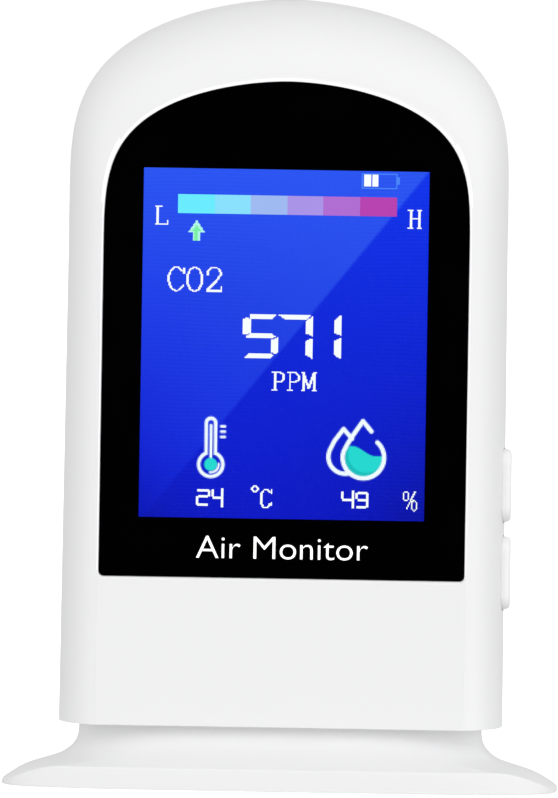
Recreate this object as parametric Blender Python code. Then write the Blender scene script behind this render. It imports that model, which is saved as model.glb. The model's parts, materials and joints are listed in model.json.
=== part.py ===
"""Desktop carbon dioxide monitor: an arched two-shell housing with a black-bordered
display window, two side buttons and an oval flared foot, with its electronics inside.

Frame: +Z up, the display faces -Y, the buttons are on the +X side, and the origin is the
centre of the footprint on the surface it stands on. Lengths are in millimetres, and every
mesh is scaled to metres as it is made.
"""
import math

import bmesh
import bpy
from mathutils import Vector

MM = 0.001

# ---------------------------------------------------------------- shared dimensions
PAD_PROUD = 0.2                 # rubber pads stand this far below the foot's rim
HEAD_GAP = 0.1                  # between a screw head and the face it holds
MOUNT_GAP = 0.1                 # between a component and the circuit board
FUSE = 0.8                      # how far a post or rib runs into the wall it grows from
FLOOR_FUSE = 0.7                # the same, from the outside of the housing's bottom

# housing, seen from the front
BODY_BOTTOM = 9.47 + PAD_PROUD
BODY_TOP = 118.9 + PAD_PROUD
BODY_HALF_TOP = 33.17           # half width where the arch starts
BODY_HALF_BOTTOM = 33.56        # half width at the bottom: a slight draft
BODY_ARCH = 30.06               # height of the arch
BODY_POWERS = (1.84, 3.33)      # exponents of the arch, across and up

# flat plateau of the front and back faces
FLAT_HALF = 27.9
FLAT_TOP = 107.67
FLAT_ARCH = 27.6
FLAT_POWERS = (1.80, 4.13)

# housing, front to back
FRONT_Y, BELT_FRONT_Y, PART_Y, REAR_Y = -15.0, -0.5, 2.5, 15.0
SEAM = 0.15                     # gap at the parting line
WALL = 2.0
FRONT_WALL_IN = -12.3           # inside face of the front wall
REAR_WALL_IN = 13.0             # inside face of the rear wall

# fixings: (x, z) on the housing and board, (x, y) on the foot
CASE_SCREWS = [(-26.0, 16.2), (26.0, 16.2), (-14.0, 105.5), (14.0, 105.5)]
BOARD_POSTS = [(-20.5, 24.8), (20.5, 24.8), (-9.0, 101.2), (9.0, 101.2)]
FRONT_FOOT_SCREWS = [(-18.0, -6.0), (18.0, -6.0)]
REAR_FOOT_SCREWS = [(-18.0, 8.5), (18.0, 8.5)]
FOOT_SCREWS = FRONT_FOOT_SCREWS + REAR_FOOT_SCREWS
PILOT_RADIUS = 1.1
FOOT_BOSS_RADIUS, FOOT_BOSS_TOP, FOOT_PILOT_TOP = 2.4, 17.0, 16.2

# circuit board faces
BOARD_FRONT, BOARD_REAR = -6.8, -5.2
ON_BOARD = BOARD_REAR + MOUNT_GAP

# buttons, shared by the housing, caps and switches
BUTTON_Y = -3.3
BUTTON_SIZE = (11.1 / 2, 5.0 / 2)   # half length, half width
BUTTON_CLEAR = 0.2
BUTTON_ROWS = {"power": 46.35, "mode": 33.12}   # height of each button

ARCH_SEGMENTS = 20              # along half of the housing's arch
ROLL_STEPS = 6                  # from the belt to the flat face


# ---------------------------------------------------------------- scene and materials
for old in list(bpy.data.objects):
    bpy.data.objects.remove(old, do_unlink=True)

# name: (base colour, roughness, metallic, alpha)
FINISHES = {
    "white_abs": ((0.86, 0.86, 0.87), 0.38, 0.0, 1.0),
    "white_button": ((0.88, 0.88, 0.89), 0.34, 0.0, 1.0),
    "clear_acrylic": ((0.90, 0.92, 0.93), 0.05, 0.0, 0.25),
    "black_print": ((0.005, 0.005, 0.006), 0.25, 0.0, 1.0),
    "screen_glass": ((0.03, 0.08, 0.75), 0.12, 0.0, 1.0),
    "steel_tray": ((0.62, 0.63, 0.65), 0.32, 1.0, 1.0),
    "amber_flex": ((0.62, 0.30, 0.06), 0.4, 0.0, 1.0),
    "black_plastic": ((0.02, 0.02, 0.022), 0.5, 0.0, 1.0),
    "green_board": ((0.015, 0.17, 0.07), 0.45, 0.0, 1.0),
    "chip_epoxy": ((0.018, 0.018, 0.02), 0.55, 0.0, 1.0),
    "ferrite": ((0.07, 0.07, 0.075), 0.6, 0.0, 1.0),
    "nickel": ((0.72, 0.71, 0.68), 0.25, 1.0, 1.0),
    "gold_brass": ((0.83, 0.62, 0.26), 0.3, 1.0, 1.0),
    "filter_membrane": ((0.85, 0.85, 0.82), 0.9, 0.0, 1.0),
    "connector_nylon": ((0.80, 0.78, 0.70), 0.5, 0.0, 1.0),
    "battery_foil": ((0.60, 0.61, 0.63), 0.35, 0.6, 1.0),
    "red_wire": ((0.60, 0.02, 0.02), 0.45, 0.0, 1.0),
    "black_wire": ((0.015, 0.015, 0.015), 0.45, 0.0, 1.0),
    "dark_foam": ((0.05, 0.05, 0.055), 0.95, 0.0, 1.0),
    "screw_steel": ((0.55, 0.56, 0.58), 0.3, 1.0, 1.0),
    "ballast_steel": ((0.42, 0.43, 0.45), 0.45, 1.0, 1.0),
    "grey_rubber": ((0.16, 0.16, 0.17), 0.85, 0.0, 1.0),
}


def make_material(name, colour, roughness, metallic, alpha):
    material = bpy.data.materials.new(name)
    material.use_nodes = True
    inputs = material.node_tree.nodes["Principled BSDF"].inputs
    inputs["Base Color"].default_value = (*colour, 1.0)
    inputs["Roughness"].default_value = roughness
    inputs["Metallic"].default_value = metallic
    inputs["Alpha"].default_value = alpha
    material.diffuse_color = (*colour, alpha)
    return material


MATERIALS = {name: make_material(name, *finish) for name, finish in FINISHES.items()}


def place(obj, at, parent):
    """Links an object at a world position in millimetres, under a parent empty."""
    bpy.context.scene.collection.objects.link(obj)
    base = Vector((0, 0, 0))
    if parent:
        obj.parent = parent
        base = Vector(parent["at_mm"])
    obj.location = (Vector(at) - base) * MM


def empty(name, at=(0.0, 0.0, 0.0), parent=None):
    """A holder that remembers its world position for the objects placed under it."""
    holder = bpy.data.objects.new(name, None)
    holder.empty_display_size = 0.005
    holder["at_mm"] = list(at)
    place(holder, at, parent)
    return holder


MONITOR = empty("monitor")
HOUSING = empty("housing", parent=MONITOR)
DISPLAY = empty("display", parent=HOUSING)
ELECTRONICS = empty("electronics", parent=HOUSING)
FOOT = empty("foot", parent=MONITOR)


# ---------------------------------------------------------------- solids
# A solid is described by its rings: lists of world points of equal length.
def add_loft(bm, rings):
    """A closed solid through the rings, with flat caps at both ends."""
    loops = [[bm.verts.new(point) for point in ring] for ring in rings]
    count = len(loops[0])
    for lower, upper in zip(loops, loops[1:]):
        for i in range(count):
            j = (i + 1) % count
            bm.faces.new((lower[i], lower[j], upper[j], upper[i]))
    bm.faces.new(loops[0])
    bm.faces.new(loops[-1])


def solids(name, parts, parent, mat=None, origin=None, smooth=False):
    """One object holding several solids. Its origin defaults to the centre of its bounds."""
    if origin is None:
        points = [point for rings in parts for ring in rings for point in ring]
        origin = [(min(values) + max(values)) / 2 for values in zip(*points)]
    bm = bmesh.new()
    for rings in parts:
        add_loft(bm, rings)
    bmesh.ops.recalc_face_normals(bm, faces=bm.faces)
    for vert in bm.verts:
        vert.co = (vert.co - Vector(origin)) * MM
    mesh = bpy.data.meshes.new(name)
    bm.to_mesh(mesh)
    bm.free()
    if mat:
        mesh.materials.append(MATERIALS[mat])
    obj = bpy.data.objects.new(name, mesh)
    place(obj, origin, parent)
    if smooth:
        mesh.shade_smooth()
        mesh.set_sharp_from_angle(angle=math.radians(35))
    return obj


def loft(name, rings, parent, mat=None, origin=(0, 0, 0), smooth=True):
    return solids(name, [rings], parent, mat, origin, smooth)


def box(x, y, z):
    """Rings of a box; x, y and z are (low, high)."""
    return [[(x[0], y[0], at), (x[1], y[0], at), (x[1], y[1], at), (x[0], y[1], at)] for at in z]


def block(name, x, y, z, parent, mat=None, bevel=0.0, segments=1):
    """A box object, its edges bevelled when a bevel width is given."""
    obj = solids(name, [box(x, y, z)], parent, mat)
    if bevel:
        edges = obj.modifiers.new("edges", "BEVEL")
        edges.width = bevel * MM
        edges.segments = segments
        edges.limit_method = "ANGLE"
    return obj


def boolean(target, tool, operation):
    """Shapes target with tool, which is then a hidden helper and not a part itself."""
    modifier = target.modifiers.new(f"{operation.lower()}_{tool.name}", "BOOLEAN")
    modifier.operation = operation
    modifier.object = tool
    modifier.solver = "EXACT"
    tool.hide_render = True
    tool.display_type = "WIRE"


def cut(target, tool):
    boolean(target, tool, "DIFFERENCE")


def join(target, tool):
    boolean(target, tool, "UNION")


# ---------------------------------------------------------------- rings
def on_axis(axis, at, across, up):
    """The point at a distance along an axis; across and up are the other two coordinates."""
    return {"X": (at, across, up), "Y": (across, at, up), "Z": (across, up, at)}[axis]


def turned(axis, centre, profile, segments):
    """Rings round an axis line through a profile of (position on axis, radius)."""
    angles = [2 * math.pi * i / segments for i in range(segments)]
    return [[on_axis(axis, at, centre[0] + radius * math.cos(angle),
                     centre[1] + radius * math.sin(angle)) for angle in angles]
            for at, radius in profile]


def cylinders(axis, centres, low, high, radius, segments):
    return [turned(axis, centre, [(low, radius), (high, radius)], segments)
            for centre in centres]


def slot(axis, centre, size, stations, segments, upright=False):
    """Stadium rings at stations of (position on axis, growth). size is (half length, half
    width), and the length lies on the first cross axis, or on the second when upright."""
    run = size[0] - size[1]
    rings = []
    for at, grow in stations:
        radius = size[1] + grow
        ring = []
        for end, start in ((1, -math.pi / 2), (-1, math.pi / 2)):
            for i in range(segments + 1):
                angle = start + math.pi * i / segments
                along = end * run + radius * math.cos(angle)
                side = radius * math.sin(angle)
                first, second = (-side, along) if upright else (along, side)
                ring.append(on_axis(axis, at, centre[0] + first, centre[1] + second))
        rings.append(ring)
    return rings


def at_y(outline, y):
    return [(x, y, z) for x, z in outline]


def prism(outline, front, back):
    return [at_y(outline, front), at_y(outline, back)]


def resample(points, count):
    """count segments of equal length along an open polyline."""
    lengths = [0.0]
    for start, end in zip(points, points[1:]):
        lengths.append(lengths[-1] + math.dist(start, end))
    out, k = [], 0
    for i in range(count + 1):
        want = lengths[-1] * i / count
        while k < len(points) - 2 and lengths[k + 1] < want:
            k += 1
        share = (want - lengths[k]) / (lengths[k + 1] - lengths[k])
        out.append(tuple(start + (end - start) * share
                         for start, end in zip(points[k], points[k + 1])))
    return out


def quarter(width, height, powers, count):
    """A quarter of |x/width|^powers[0] + |z/height|^powers[1] = 1, from the x axis up."""
    steps = 800
    dense = []
    for i in range(steps):
        angle = math.pi / 2 * i / steps
        dense.append((width * math.cos(angle) ** (2 / powers[0]),
                      height * math.sin(angle) ** (2 / powers[1])))
    return resample(dense + [(0.0, height)], count)


def superellipse(half_x, half_y, power, z, count=12):
    """A closed superellipse ring at height z with 4 * count points."""
    arc = quarter(half_x, half_y, (power, power), count)
    ring = arc[:-1]
    ring += [(-x, y) for x, y in reversed(arc)][:-1]
    ring += [(-x, -y) for x, y in arc][:-1]
    ring += [(x, -y) for x, y in reversed(arc)][:-1]
    return [(x, y, z) for x, y in ring]


def arch_outline(half, half_bottom, arch, powers, top, bottom, segments=ARCH_SEGMENTS, side=3):
    """Anticlockwise (x, z) outline: up the right side, over the arch, down the left."""
    spring = top - arch
    right = [
        (half_bottom + (half - half_bottom) * i / side, bottom + (spring - bottom) * i / side)
        for i in range(side)
    ]
    curve = [(x, spring + z) for x, z in quarter(half, arch, powers, segments)]
    return right + curve + [(-x, z) for x, z in reversed(right + curve[:-1])]


def body_outline(inset=0.0):
    return arch_outline(BODY_HALF_TOP - inset, BODY_HALF_BOTTOM - inset, BODY_ARCH - inset,
                        BODY_POWERS, BODY_TOP - inset, BODY_BOTTOM + inset)


def rolled_rings(inset, belt_y, face_y):
    """Rings from the belt to the flat face along a quarter ellipse. inset moves the outer
    outline in all round, but only the bottom of the flat."""
    outer = body_outline(inset)
    flat = arch_outline(FLAT_HALF, FLAT_HALF, FLAT_ARCH, FLAT_POWERS, FLAT_TOP,
                        BODY_BOTTOM + inset)
    rings = []
    for i in range(ROLL_STEPS + 1):
        angle = math.pi / 2 * i / ROLL_STEPS
        share, y = math.cos(angle), belt_y + (face_y - belt_y) * math.sin(angle)
        rings.append([
            (flat_x + (outer_x - flat_x) * share, y, flat_z + (outer_z - flat_z) * share)
            for (outer_x, outer_z), (flat_x, flat_z) in zip(outer, flat)
        ])
    return rings


def ribbon(name, path, half_width, thickness, x_centre, mat, parent):
    """A flat cable of even thickness along a (y, z) path."""
    left, right = [], []
    for i, point in enumerate(path):
        before, after = Vector(path[max(i - 1, 0)]), Vector(path[min(i + 1, len(path) - 1)])
        tangent = (after - before).normalized()
        offset = Vector((-tangent.y, tangent.x)) * thickness / 2
        left.append(Vector(point) + offset)
        right.append(Vector(point) - offset)
    section = left + right[::-1]
    rings = [[(x, point.x, point.y) for point in section]
             for x in (x_centre - half_width, x_centre + half_width)]
    loft(name, rings, parent, mat, (x_centre, *path[0]))


# ---------------------------------------------------------------- screws
SCREW_SEGMENTS = 12
SHANK_RADIUS = 0.9
SCREW_POINT = 0.8               # length of the tapered end
CROSS_HALF_THICK, CROSS_DEPTH = 0.24, 0.75


def screw(name, seat, direction, length, parent, head_radius=1.9, head_height=1.3):
    """A pan-head screw with a cross recess. seat is the centre of the underside of the
    head, and the shank runs along direction, which is square to X."""
    axis = Vector(direction)
    side = Vector((1, 0, 0))
    up = axis.cross(side)

    def point(along, across, rise):
        return tuple(Vector(seat) + axis * along + side * across + up * rise)

    # distance along the axis, radius
    profile = [
        (-head_height, head_radius * 0.62), (-head_height * 0.82, head_radius * 0.86),
        (-head_height * 0.45, head_radius), (0.0, head_radius), (0.0, SHANK_RADIUS),
        (length - SCREW_POINT, SHANK_RADIUS), (length, SHANK_RADIUS * 0.35),
    ]
    angles = [2 * math.pi * i / SCREW_SEGMENTS for i in range(SCREW_SEGMENTS)]
    rings = [[point(along, radius * math.cos(angle), radius * math.sin(angle))
              for angle in angles] for along, radius in profile]
    body = loft(name, rings, parent, "screw_steel", seat)

    arm, thick = head_radius * 0.5, CROSS_HALF_THICK
    cross = [
        (arm, -thick), (arm, thick), (thick, thick), (thick, arm), (-thick, arm),
        (-thick, thick), (-arm, thick), (-arm, -thick), (-thick, -thick),
        (-thick, -arm), (thick, -arm), (thick, -thick),
    ]
    rings = [[point(along, across, rise) for across, rise in cross]
             for along in (-head_height - 0.4, -head_height + CROSS_DEPTH)]
    cut(body, loft(f"{name}_recess_cutter", rings, parent, origin=seat, smooth=False))


# ---------------------------------------------------------------- window
LENS_HALF, LENS_TOP, LENS_ARCH = 27.60, 107.17, 27.33
LENS_POWERS = (1.797, 4.127)
LENS_BOTTOM = 32.16
LENS_CORNER = 0.8
LENS_SEGMENTS, CORNER_STEPS = 18, 4
LENS_FRONT, LENS_BACK = -14.9, -13.9
LENS_CLEAR = 0.12
MASK_FRONT, MASK_BACK = -13.8, -13.6
MASK_INSET = 0.3
RECESS_FLOOR = -13.5
VIEW_HALF = 21.53               # half width of the visible picture
VIEW_X = -0.16                  # the picture sits slightly left of the window's centre
VIEW_BOTTOM, VIEW_TOP = 41.13, 93.85


def window_outline(grow=0.0):
    """The arched window with small rounded bottom corners."""
    half, bottom = LENS_HALF + grow, LENS_BOTTOM - grow
    points = arch_outline(half, half, LENS_ARCH + grow, LENS_POWERS, LENS_TOP + grow,
                          bottom, LENS_SEGMENTS, side=1)
    radius = LENS_CORNER + grow
    corner = []
    for i in range(CORNER_STEPS + 1):
        angle = -math.pi / 2 + math.pi / 2 * i / CORNER_STEPS
        corner.append((half - radius + radius * math.cos(angle),
                       bottom + radius + radius * math.sin(angle)))
    return corner + points[1:-1] + [(-x, z) for x, z in reversed(corner)]


def make_window():
    loft("display_lens", prism(window_outline(), LENS_FRONT, LENS_BACK), DISPLAY,
         "clear_acrylic", (0, LENS_BACK, LENS_BOTTOM))
    mask = loft("lens_mask", prism(window_outline(-MASK_INSET), MASK_FRONT, MASK_BACK),
                DISPLAY, "black_print", (0, MASK_BACK, LENS_BOTTOM))
    cut(mask, block("mask_window_cutter", (VIEW_X - VIEW_HALF, VIEW_X + VIEW_HALF),
                    (MASK_FRONT - 0.4, MASK_BACK + 0.4), (VIEW_BOTTOM, VIEW_TOP), DISPLAY))


# ---------------------------------------------------------------- display module
LCD_HALF, LCD_BOTTOM, LCD_TOP = 23.8, 36.3, 96.4
LCD_FRONT, LCD_BACK = -13.4, -10.6
LCD_FLOOR = -11.5               # front of the tray's floor
TRAY_WALL = 0.5
PANEL_INSET = TRAY_WALL + 0.15
OPENING_CLEAR_X, OPENING_CLEAR_Z = 0.2, 0.25

# flat cable of the display, (y, z): down the bracket, round a bend, to the connector
BEND_ANGLES = (0.35, 0.75, 1.15)
LCD_FLEX_PATH = (
    [(-10.35, 43.0), (-10.35, 34.0)]
    + [(-9.3 - 1.05 * math.cos(angle), 33.4 - 1.6 * math.sin(angle)) for angle in BEND_ANGLES]
    + [(-8.5, 31.7), (-7.75, 31.5)]
)


def lcd_block(name, inset, y, mat=None):
    """A block of the display module's outline, moved in all round."""
    return block(name, (-LCD_HALF + inset, LCD_HALF - inset), y,
                 (LCD_BOTTOM + inset, LCD_TOP - inset), DISPLAY, mat)


def make_display_module():
    frame = lcd_block("lcd_frame", 0.0, (LCD_FRONT, LCD_BACK), "steel_tray")
    cut(frame, lcd_block("lcd_pocket_cutter", TRAY_WALL, (LCD_FRONT - 0.5, LCD_FLOOR)))
    lcd_block("lcd_panel", PANEL_INSET, (LCD_FRONT + 0.05, LCD_FLOOR - 0.1), "screen_glass")

    bracket = block("display_bracket", (-25.2, 25.2), (-10.4, -7.0), (34.9, 97.7),
                    DISPLAY, "black_plastic", bevel=0.4)
    cut(bracket, block("bracket_opening_cutter", (-21.5, 21.5), (-12, -5), (39.5, 93.5),
                       DISPLAY))
    # the notch lets the flat cable pass in front of the bracket's lower bar
    cut(bracket, block("bracket_notch_cutter", (-10.0, 10.0), (-12, -9.4), (33.0, 41.0),
                       DISPLAY))

    ribbon("lcd_flex", LCD_FLEX_PATH, half_width=8.0, thickness=0.2, x_centre=0.0,
           mat="amber_flex", parent=DISPLAY)
    block("lcd_connector", (-9.5, 9.5), (-8.4, BOARD_FRONT - MOUNT_GAP), (26.8, 31.2),
          ELECTRONICS, "connector_nylon", bevel=0.25)


# ---------------------------------------------------------------- front shell
def make_front_shell():
    shell = loft("front_shell", [at_y(body_outline(), PART_Y)]
                 + rolled_rings(0.0, BELT_FRONT_Y, FRONT_Y),
                 HOUSING, "white_abs", (0, BELT_FRONT_Y, BODY_BOTTOM))
    cut(shell, loft("front_cavity_cutter", [at_y(body_outline(WALL), PART_Y + 2)]
                    + rolled_rings(WALL, BELT_FRONT_Y, FRONT_WALL_IN), HOUSING))

    root = FRONT_WALL_IN - FUSE
    join(shell, solids(
        "front_posts_and_bosses",
        cylinders("Y", CASE_SCREWS, root, PART_Y - 0.2, 2.6, 16)
        + cylinders("Y", BOARD_POSTS, root, BOARD_FRONT - 0.15, 2.2, 14)
        + cylinders("Z", FRONT_FOOT_SCREWS, BODY_BOTTOM + FLOOR_FUSE, FOOT_BOSS_TOP,
                    FOOT_BOSS_RADIUS, 14), HOUSING))
    cut(shell, solids(
        "front_pilot_cutter",
        cylinders("Y", CASE_SCREWS, -6.5, PART_Y + 1, PILOT_RADIUS, 12)
        + cylinders("Y", BOARD_POSTS, -11.2, BOARD_FRONT + 1, PILOT_RADIUS, 12)
        + cylinders("Z", FRONT_FOOT_SCREWS, BODY_BOTTOM - 1, FOOT_PILOT_TOP,
                    PILOT_RADIUS, 12), HOUSING))

    cut(shell, loft("window_recess_cutter",
                    prism(window_outline(LENS_CLEAR), FRONT_Y - 1, RECESS_FLOOR), HOUSING))
    opening_half = LCD_HALF + OPENING_CLEAR_X
    cut(shell, block("display_opening_cutter", (-opening_half, opening_half),
                     (FRONT_Y - 0.5, FRONT_WALL_IN + 1.5),
                     (LCD_BOTTOM - OPENING_CLEAR_Z, LCD_TOP + OPENING_CLEAR_Z), HOUSING))
    for label, z in BUTTON_ROWS.items():
        hole = slot("X", (BUTTON_Y, z), BUTTON_SIZE,
                    [(28.6, BUTTON_CLEAR), (36.0, BUTTON_CLEAR)], 8, upright=True)
        cut(shell, loft(f"{label}_button_hole_cutter", hole, HOUSING))


# ---------------------------------------------------------------- rear shell
# lip that locates the rear shell inside the front shell
LIP_INSET = WALL + 0.15
LIP_ROOT_INSET = WALL - 0.9
LIP_THICK = 1.0
LIP_STEP_Y = PART_Y + 0.35

BATTERY_X, BATTERY_Y, BATTERY_Z = (-17.0, 17.0), (6.4, 12.0), (28.0, 60.0)
RIB_GAP, RIB_THICK = 0.5, 1.0   # ribs round the battery
RIB_Y = (9.6, REAR_WALL_IN + FUSE)
SIDE_RIB_Z, END_RIB_X = (34.0, 54.0), (-10.0, 10.0)

CASE_POST_RADIUS = 3.2
CHARGE_POSTS = [(-6.8, 6.4), (6.8, 6.4)]    # (x, y) of posts under the charging board
SCREW_SEAT = 9.0
# case screw hole: y, radius
CASE_HOLE = [(PART_Y - 2, 1.2), (SCREW_SEAT - HEAD_GAP, 1.2),
             (SCREW_SEAT - HEAD_GAP, 2.15), (REAR_Y + 1, 2.15)]

VENT_ROWS = [73.0 + 2.6 * i for i in range(9)]
VENT_SIZE = (12.0, 1.3 / 2)     # half length, half height
USB_Z = 20.5
USB_PORT_SIZE = (4.85, 1.95)    # half width, half height


def lip_ring(inset, y):
    return at_y(body_outline(inset), y)


def battery_ribs():
    """Ribs at the left and right of the battery, then below and above it."""
    reach = RIB_GAP + RIB_THICK
    return [
        box((BATTERY_X[0] - reach, BATTERY_X[0] - RIB_GAP), RIB_Y, SIDE_RIB_Z),
        box((BATTERY_X[1] + RIB_GAP, BATTERY_X[1] + reach), RIB_Y, SIDE_RIB_Z),
        box(END_RIB_X, RIB_Y, (BATTERY_Z[0] - reach, BATTERY_Z[0] - RIB_GAP)),
        box(END_RIB_X, RIB_Y, (BATTERY_Z[1] + RIB_GAP, BATTERY_Z[1] + reach)),
    ]


def make_rear_shell():
    shell = loft("rear_shell", rolled_rings(0.0, PART_Y + SEAM, REAR_Y),
                 HOUSING, "white_abs", (0, PART_Y, BODY_BOTTOM))
    cut(shell, loft("rear_cavity_cutter", [at_y(body_outline(WALL), PART_Y - 2)]
                    + rolled_rings(WALL, PART_Y + SEAM, REAR_WALL_IN), HOUSING))

    lip = loft("rear_lip", [
        lip_ring(LIP_INSET, PART_Y - 1.3), lip_ring(LIP_INSET, LIP_STEP_Y),
        lip_ring(LIP_ROOT_INSET, LIP_STEP_Y), lip_ring(LIP_ROOT_INSET, PART_Y + 1.6)], HOUSING)
    cut(lip, loft("rear_lip_bore_cutter",
                  prism(body_outline(LIP_INSET + LIP_THICK), PART_Y - 3, PART_Y + 4), HOUSING))
    join(shell, lip)

    floor = BODY_BOTTOM + FLOOR_FUSE
    join(shell, solids(
        "rear_posts_and_ribs",
        battery_ribs()
        + cylinders("Y", CASE_SCREWS, PART_Y + 0.3, REAR_WALL_IN + FUSE, CASE_POST_RADIUS, 16)
        + cylinders("Z", REAR_FOOT_SCREWS, floor, FOOT_BOSS_TOP, FOOT_BOSS_RADIUS, 14)
        + cylinders("Z", CHARGE_POSTS, floor, 17.5, 1.5, 12), HOUSING))
    cut(shell, solids(
        "rear_screw_hole_cutter",
        [turned("Y", centre, CASE_HOLE, 16) for centre in CASE_SCREWS]
        + cylinders("Z", REAR_FOOT_SCREWS, BODY_BOTTOM - 1, FOOT_PILOT_TOP, PILOT_RADIUS, 12),
        HOUSING, origin=(0, 0, 0)))

    # air slots over the gas sensor, and the charging port
    through = [(REAR_WALL_IN - 2, 0.0), (REAR_Y + 1, 0.0)]
    cut(shell, solids(
        "rear_slot_cutter",
        [slot("Y", (0.0, z), VENT_SIZE, through, 4) for z in VENT_ROWS]
        + [slot("Y", (0.0, USB_Z), USB_PORT_SIZE, through, 6)],
        HOUSING, origin=(0, 0, 0)))

    for i, (x, z) in enumerate(CASE_SCREWS, 1):
        screw(f"case_screw_{i}", (x, SCREW_SEAT, z), (0, -1, 0), 14.0, HOUSING)


# ---------------------------------------------------------------- buttons and switches
BUTTON_PROUD = 1.0
FLANGE_X, FLANGE_GROW = (29.4, 30.2), 0.8   # flange that keeps the cap in its hole
PLUNGER_ROOT, PLUNGER_END = 25.4, 27.0


def half_width_at(z):
    """Half width of the housing's straight side at height z."""
    share = (z - BODY_BOTTOM) / (BODY_TOP - BODY_ARCH - BODY_BOTTOM)
    return BODY_HALF_BOTTOM + (BODY_HALF_TOP - BODY_HALF_BOTTOM) * share


def make_button(label, z):
    face = half_width_at(z) + BUTTON_PROUD
    slide = empty(f"{label}_button_slide", (face, BUTTON_Y, z), HOUSING)
    stations = [(FLANGE_X[0], FLANGE_GROW), (FLANGE_X[1], FLANGE_GROW), (FLANGE_X[1], 0.0),
                (face - 0.5, 0.0), (face - 0.15, -0.15), (face, -0.5)]
    cap = loft(f"{label}_button",
               slot("X", (BUTTON_Y, z), BUTTON_SIZE, stations, 8, upright=True),
               slide, "white_button", (face, BUTTON_Y, z))
    join(cap, block(f"{label}_button_stem", (PLUNGER_END + 0.3, 29.9),
                    (BUTTON_Y - 1.0, BUTTON_Y + 1.0), (z - 1.5, z + 1.5), slide))


def make_switch(label, z):
    block(f"{label}_switch", (20.9, 25.1), (ON_BOARD, -1.5), (z - 3.0, z + 3.0),
          ELECTRONICS, "black_plastic", bevel=0.2)
    tip = (PLUNGER_END, BUTTON_Y, z)
    slide = empty(f"{label}_plunger_slide", tip, ELECTRONICS)
    # x, half depth, half height
    stations = [(PLUNGER_ROOT, 0.8, 1.4), (PLUNGER_END - 0.25, 0.8, 1.4),
                (PLUNGER_END, 0.6, 1.2)]
    corners = ((-1, -1), (1, -1), (1, 1), (-1, 1))
    rings = [[(x, BUTTON_Y + side * depth, z + rise * height) for side, rise in corners]
             for x, depth, height in stations]
    loft(f"{label}_switch_plunger", rings, slide, "connector_nylon", tip, smooth=False)


# ---------------------------------------------------------------- circuit board
BOARD_HALF = 25.3
BOARD_BOTTOM, BOARD_TOP = 20.0, 98.0
TAB_HALF, TAB_TOP = 11.0, 103.7     # narrower tab at the top of the board
CORNER_CUT, SHOULDER_CUT = 1.0, 3.0
BOARD_RIGHT_SIDE = [                # (x, z), upwards
    (BOARD_HALF - CORNER_CUT, BOARD_BOTTOM), (BOARD_HALF, BOARD_BOTTOM + CORNER_CUT),
    (BOARD_HALF, BOARD_TOP - SHOULDER_CUT), (BOARD_HALF - SHOULDER_CUT, BOARD_TOP),
    (TAB_HALF, BOARD_TOP), (TAB_HALF, TAB_TOP - CORNER_CUT), (TAB_HALF - CORNER_CUT, TAB_TOP),
]

# blocks on the rear face: name, x range, height off the board, z range, material,
# bevel, bevel segments
COMPONENTS = [
    ("mcu_chip", (-2.5, 6.5), 1.4, (47.5, 56.5), "chip_epoxy", 0.2, 1),
    ("memory_chip", (-13.0, -8.0), 1.6, (50.0, 56.0), "chip_epoxy", 0.2, 1),
    ("charger_chip", (-3.5, 0.5), 1.0, (35.0, 39.0), "chip_epoxy", 0.15, 1),
    ("power_inductor", (-13.5, -8.0), 3.0, (37.0, 42.5), "ferrite", 0.7, 2),
    ("crystal", (9.0, 12.2), 0.9, (58.0, 60.5), "nickel", 0.15, 1),
    ("battery_connector", (6.5, 13.5), 4.4, (27.5, 33.0), "connector_nylon", 0.3, 1),
    ("humidity_sensor", (17.5, 20.5), 1.0, (90.0, 93.0), "black_plastic", 0.15, 1),
]
BUZZER_X, BUZZER_Z = -10.5, 27.4
# height off the board, radius: up the outside, then down into the sound hole
BUZZER_PROFILE = [(0.0, 4.3), (3.7, 4.3), (4.0, 4.0), (4.0, 1.1), (1.8, 1.1)]


def make_board():
    outline = BOARD_RIGHT_SIDE + [(-x, z) for x, z in reversed(BOARD_RIGHT_SIDE)]
    board = loft("main_board", prism(outline, BOARD_FRONT, BOARD_REAR), ELECTRONICS,
                 "green_board", (0, BOARD_FRONT, BOARD_BOTTOM), smooth=False)
    cut(board, solids("board_hole_cutter",
                      cylinders("Y", BOARD_POSTS, BOARD_FRONT - 1, BOARD_REAR + 1, 1.25, 14),
                      ELECTRONICS))
    for i, (x, z) in enumerate(BOARD_POSTS, 1):
        screw(f"board_screw_{i}", (x, BOARD_REAR + HEAD_GAP, z), (0, -1, 0), 5.6,
              ELECTRONICS, head_radius=1.75, head_height=1.1)
    for name, x, height, z, mat, bevel, segments in COMPONENTS:
        block(name, x, (ON_BOARD, ON_BOARD + height), z, ELECTRONICS, mat, bevel, segments)
    profile = [(ON_BOARD + height, radius) for height, radius in BUZZER_PROFILE]
    loft("buzzer", turned("Y", (BUZZER_X, BUZZER_Z), profile, 20), ELECTRONICS,
         "black_plastic", (BUZZER_X, ON_BOARD, BUZZER_Z))


# ---------------------------------------------------------------- gas sensor
SENSOR_FRONT, SENSOR_BACK = -2.5, 6.0


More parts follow.
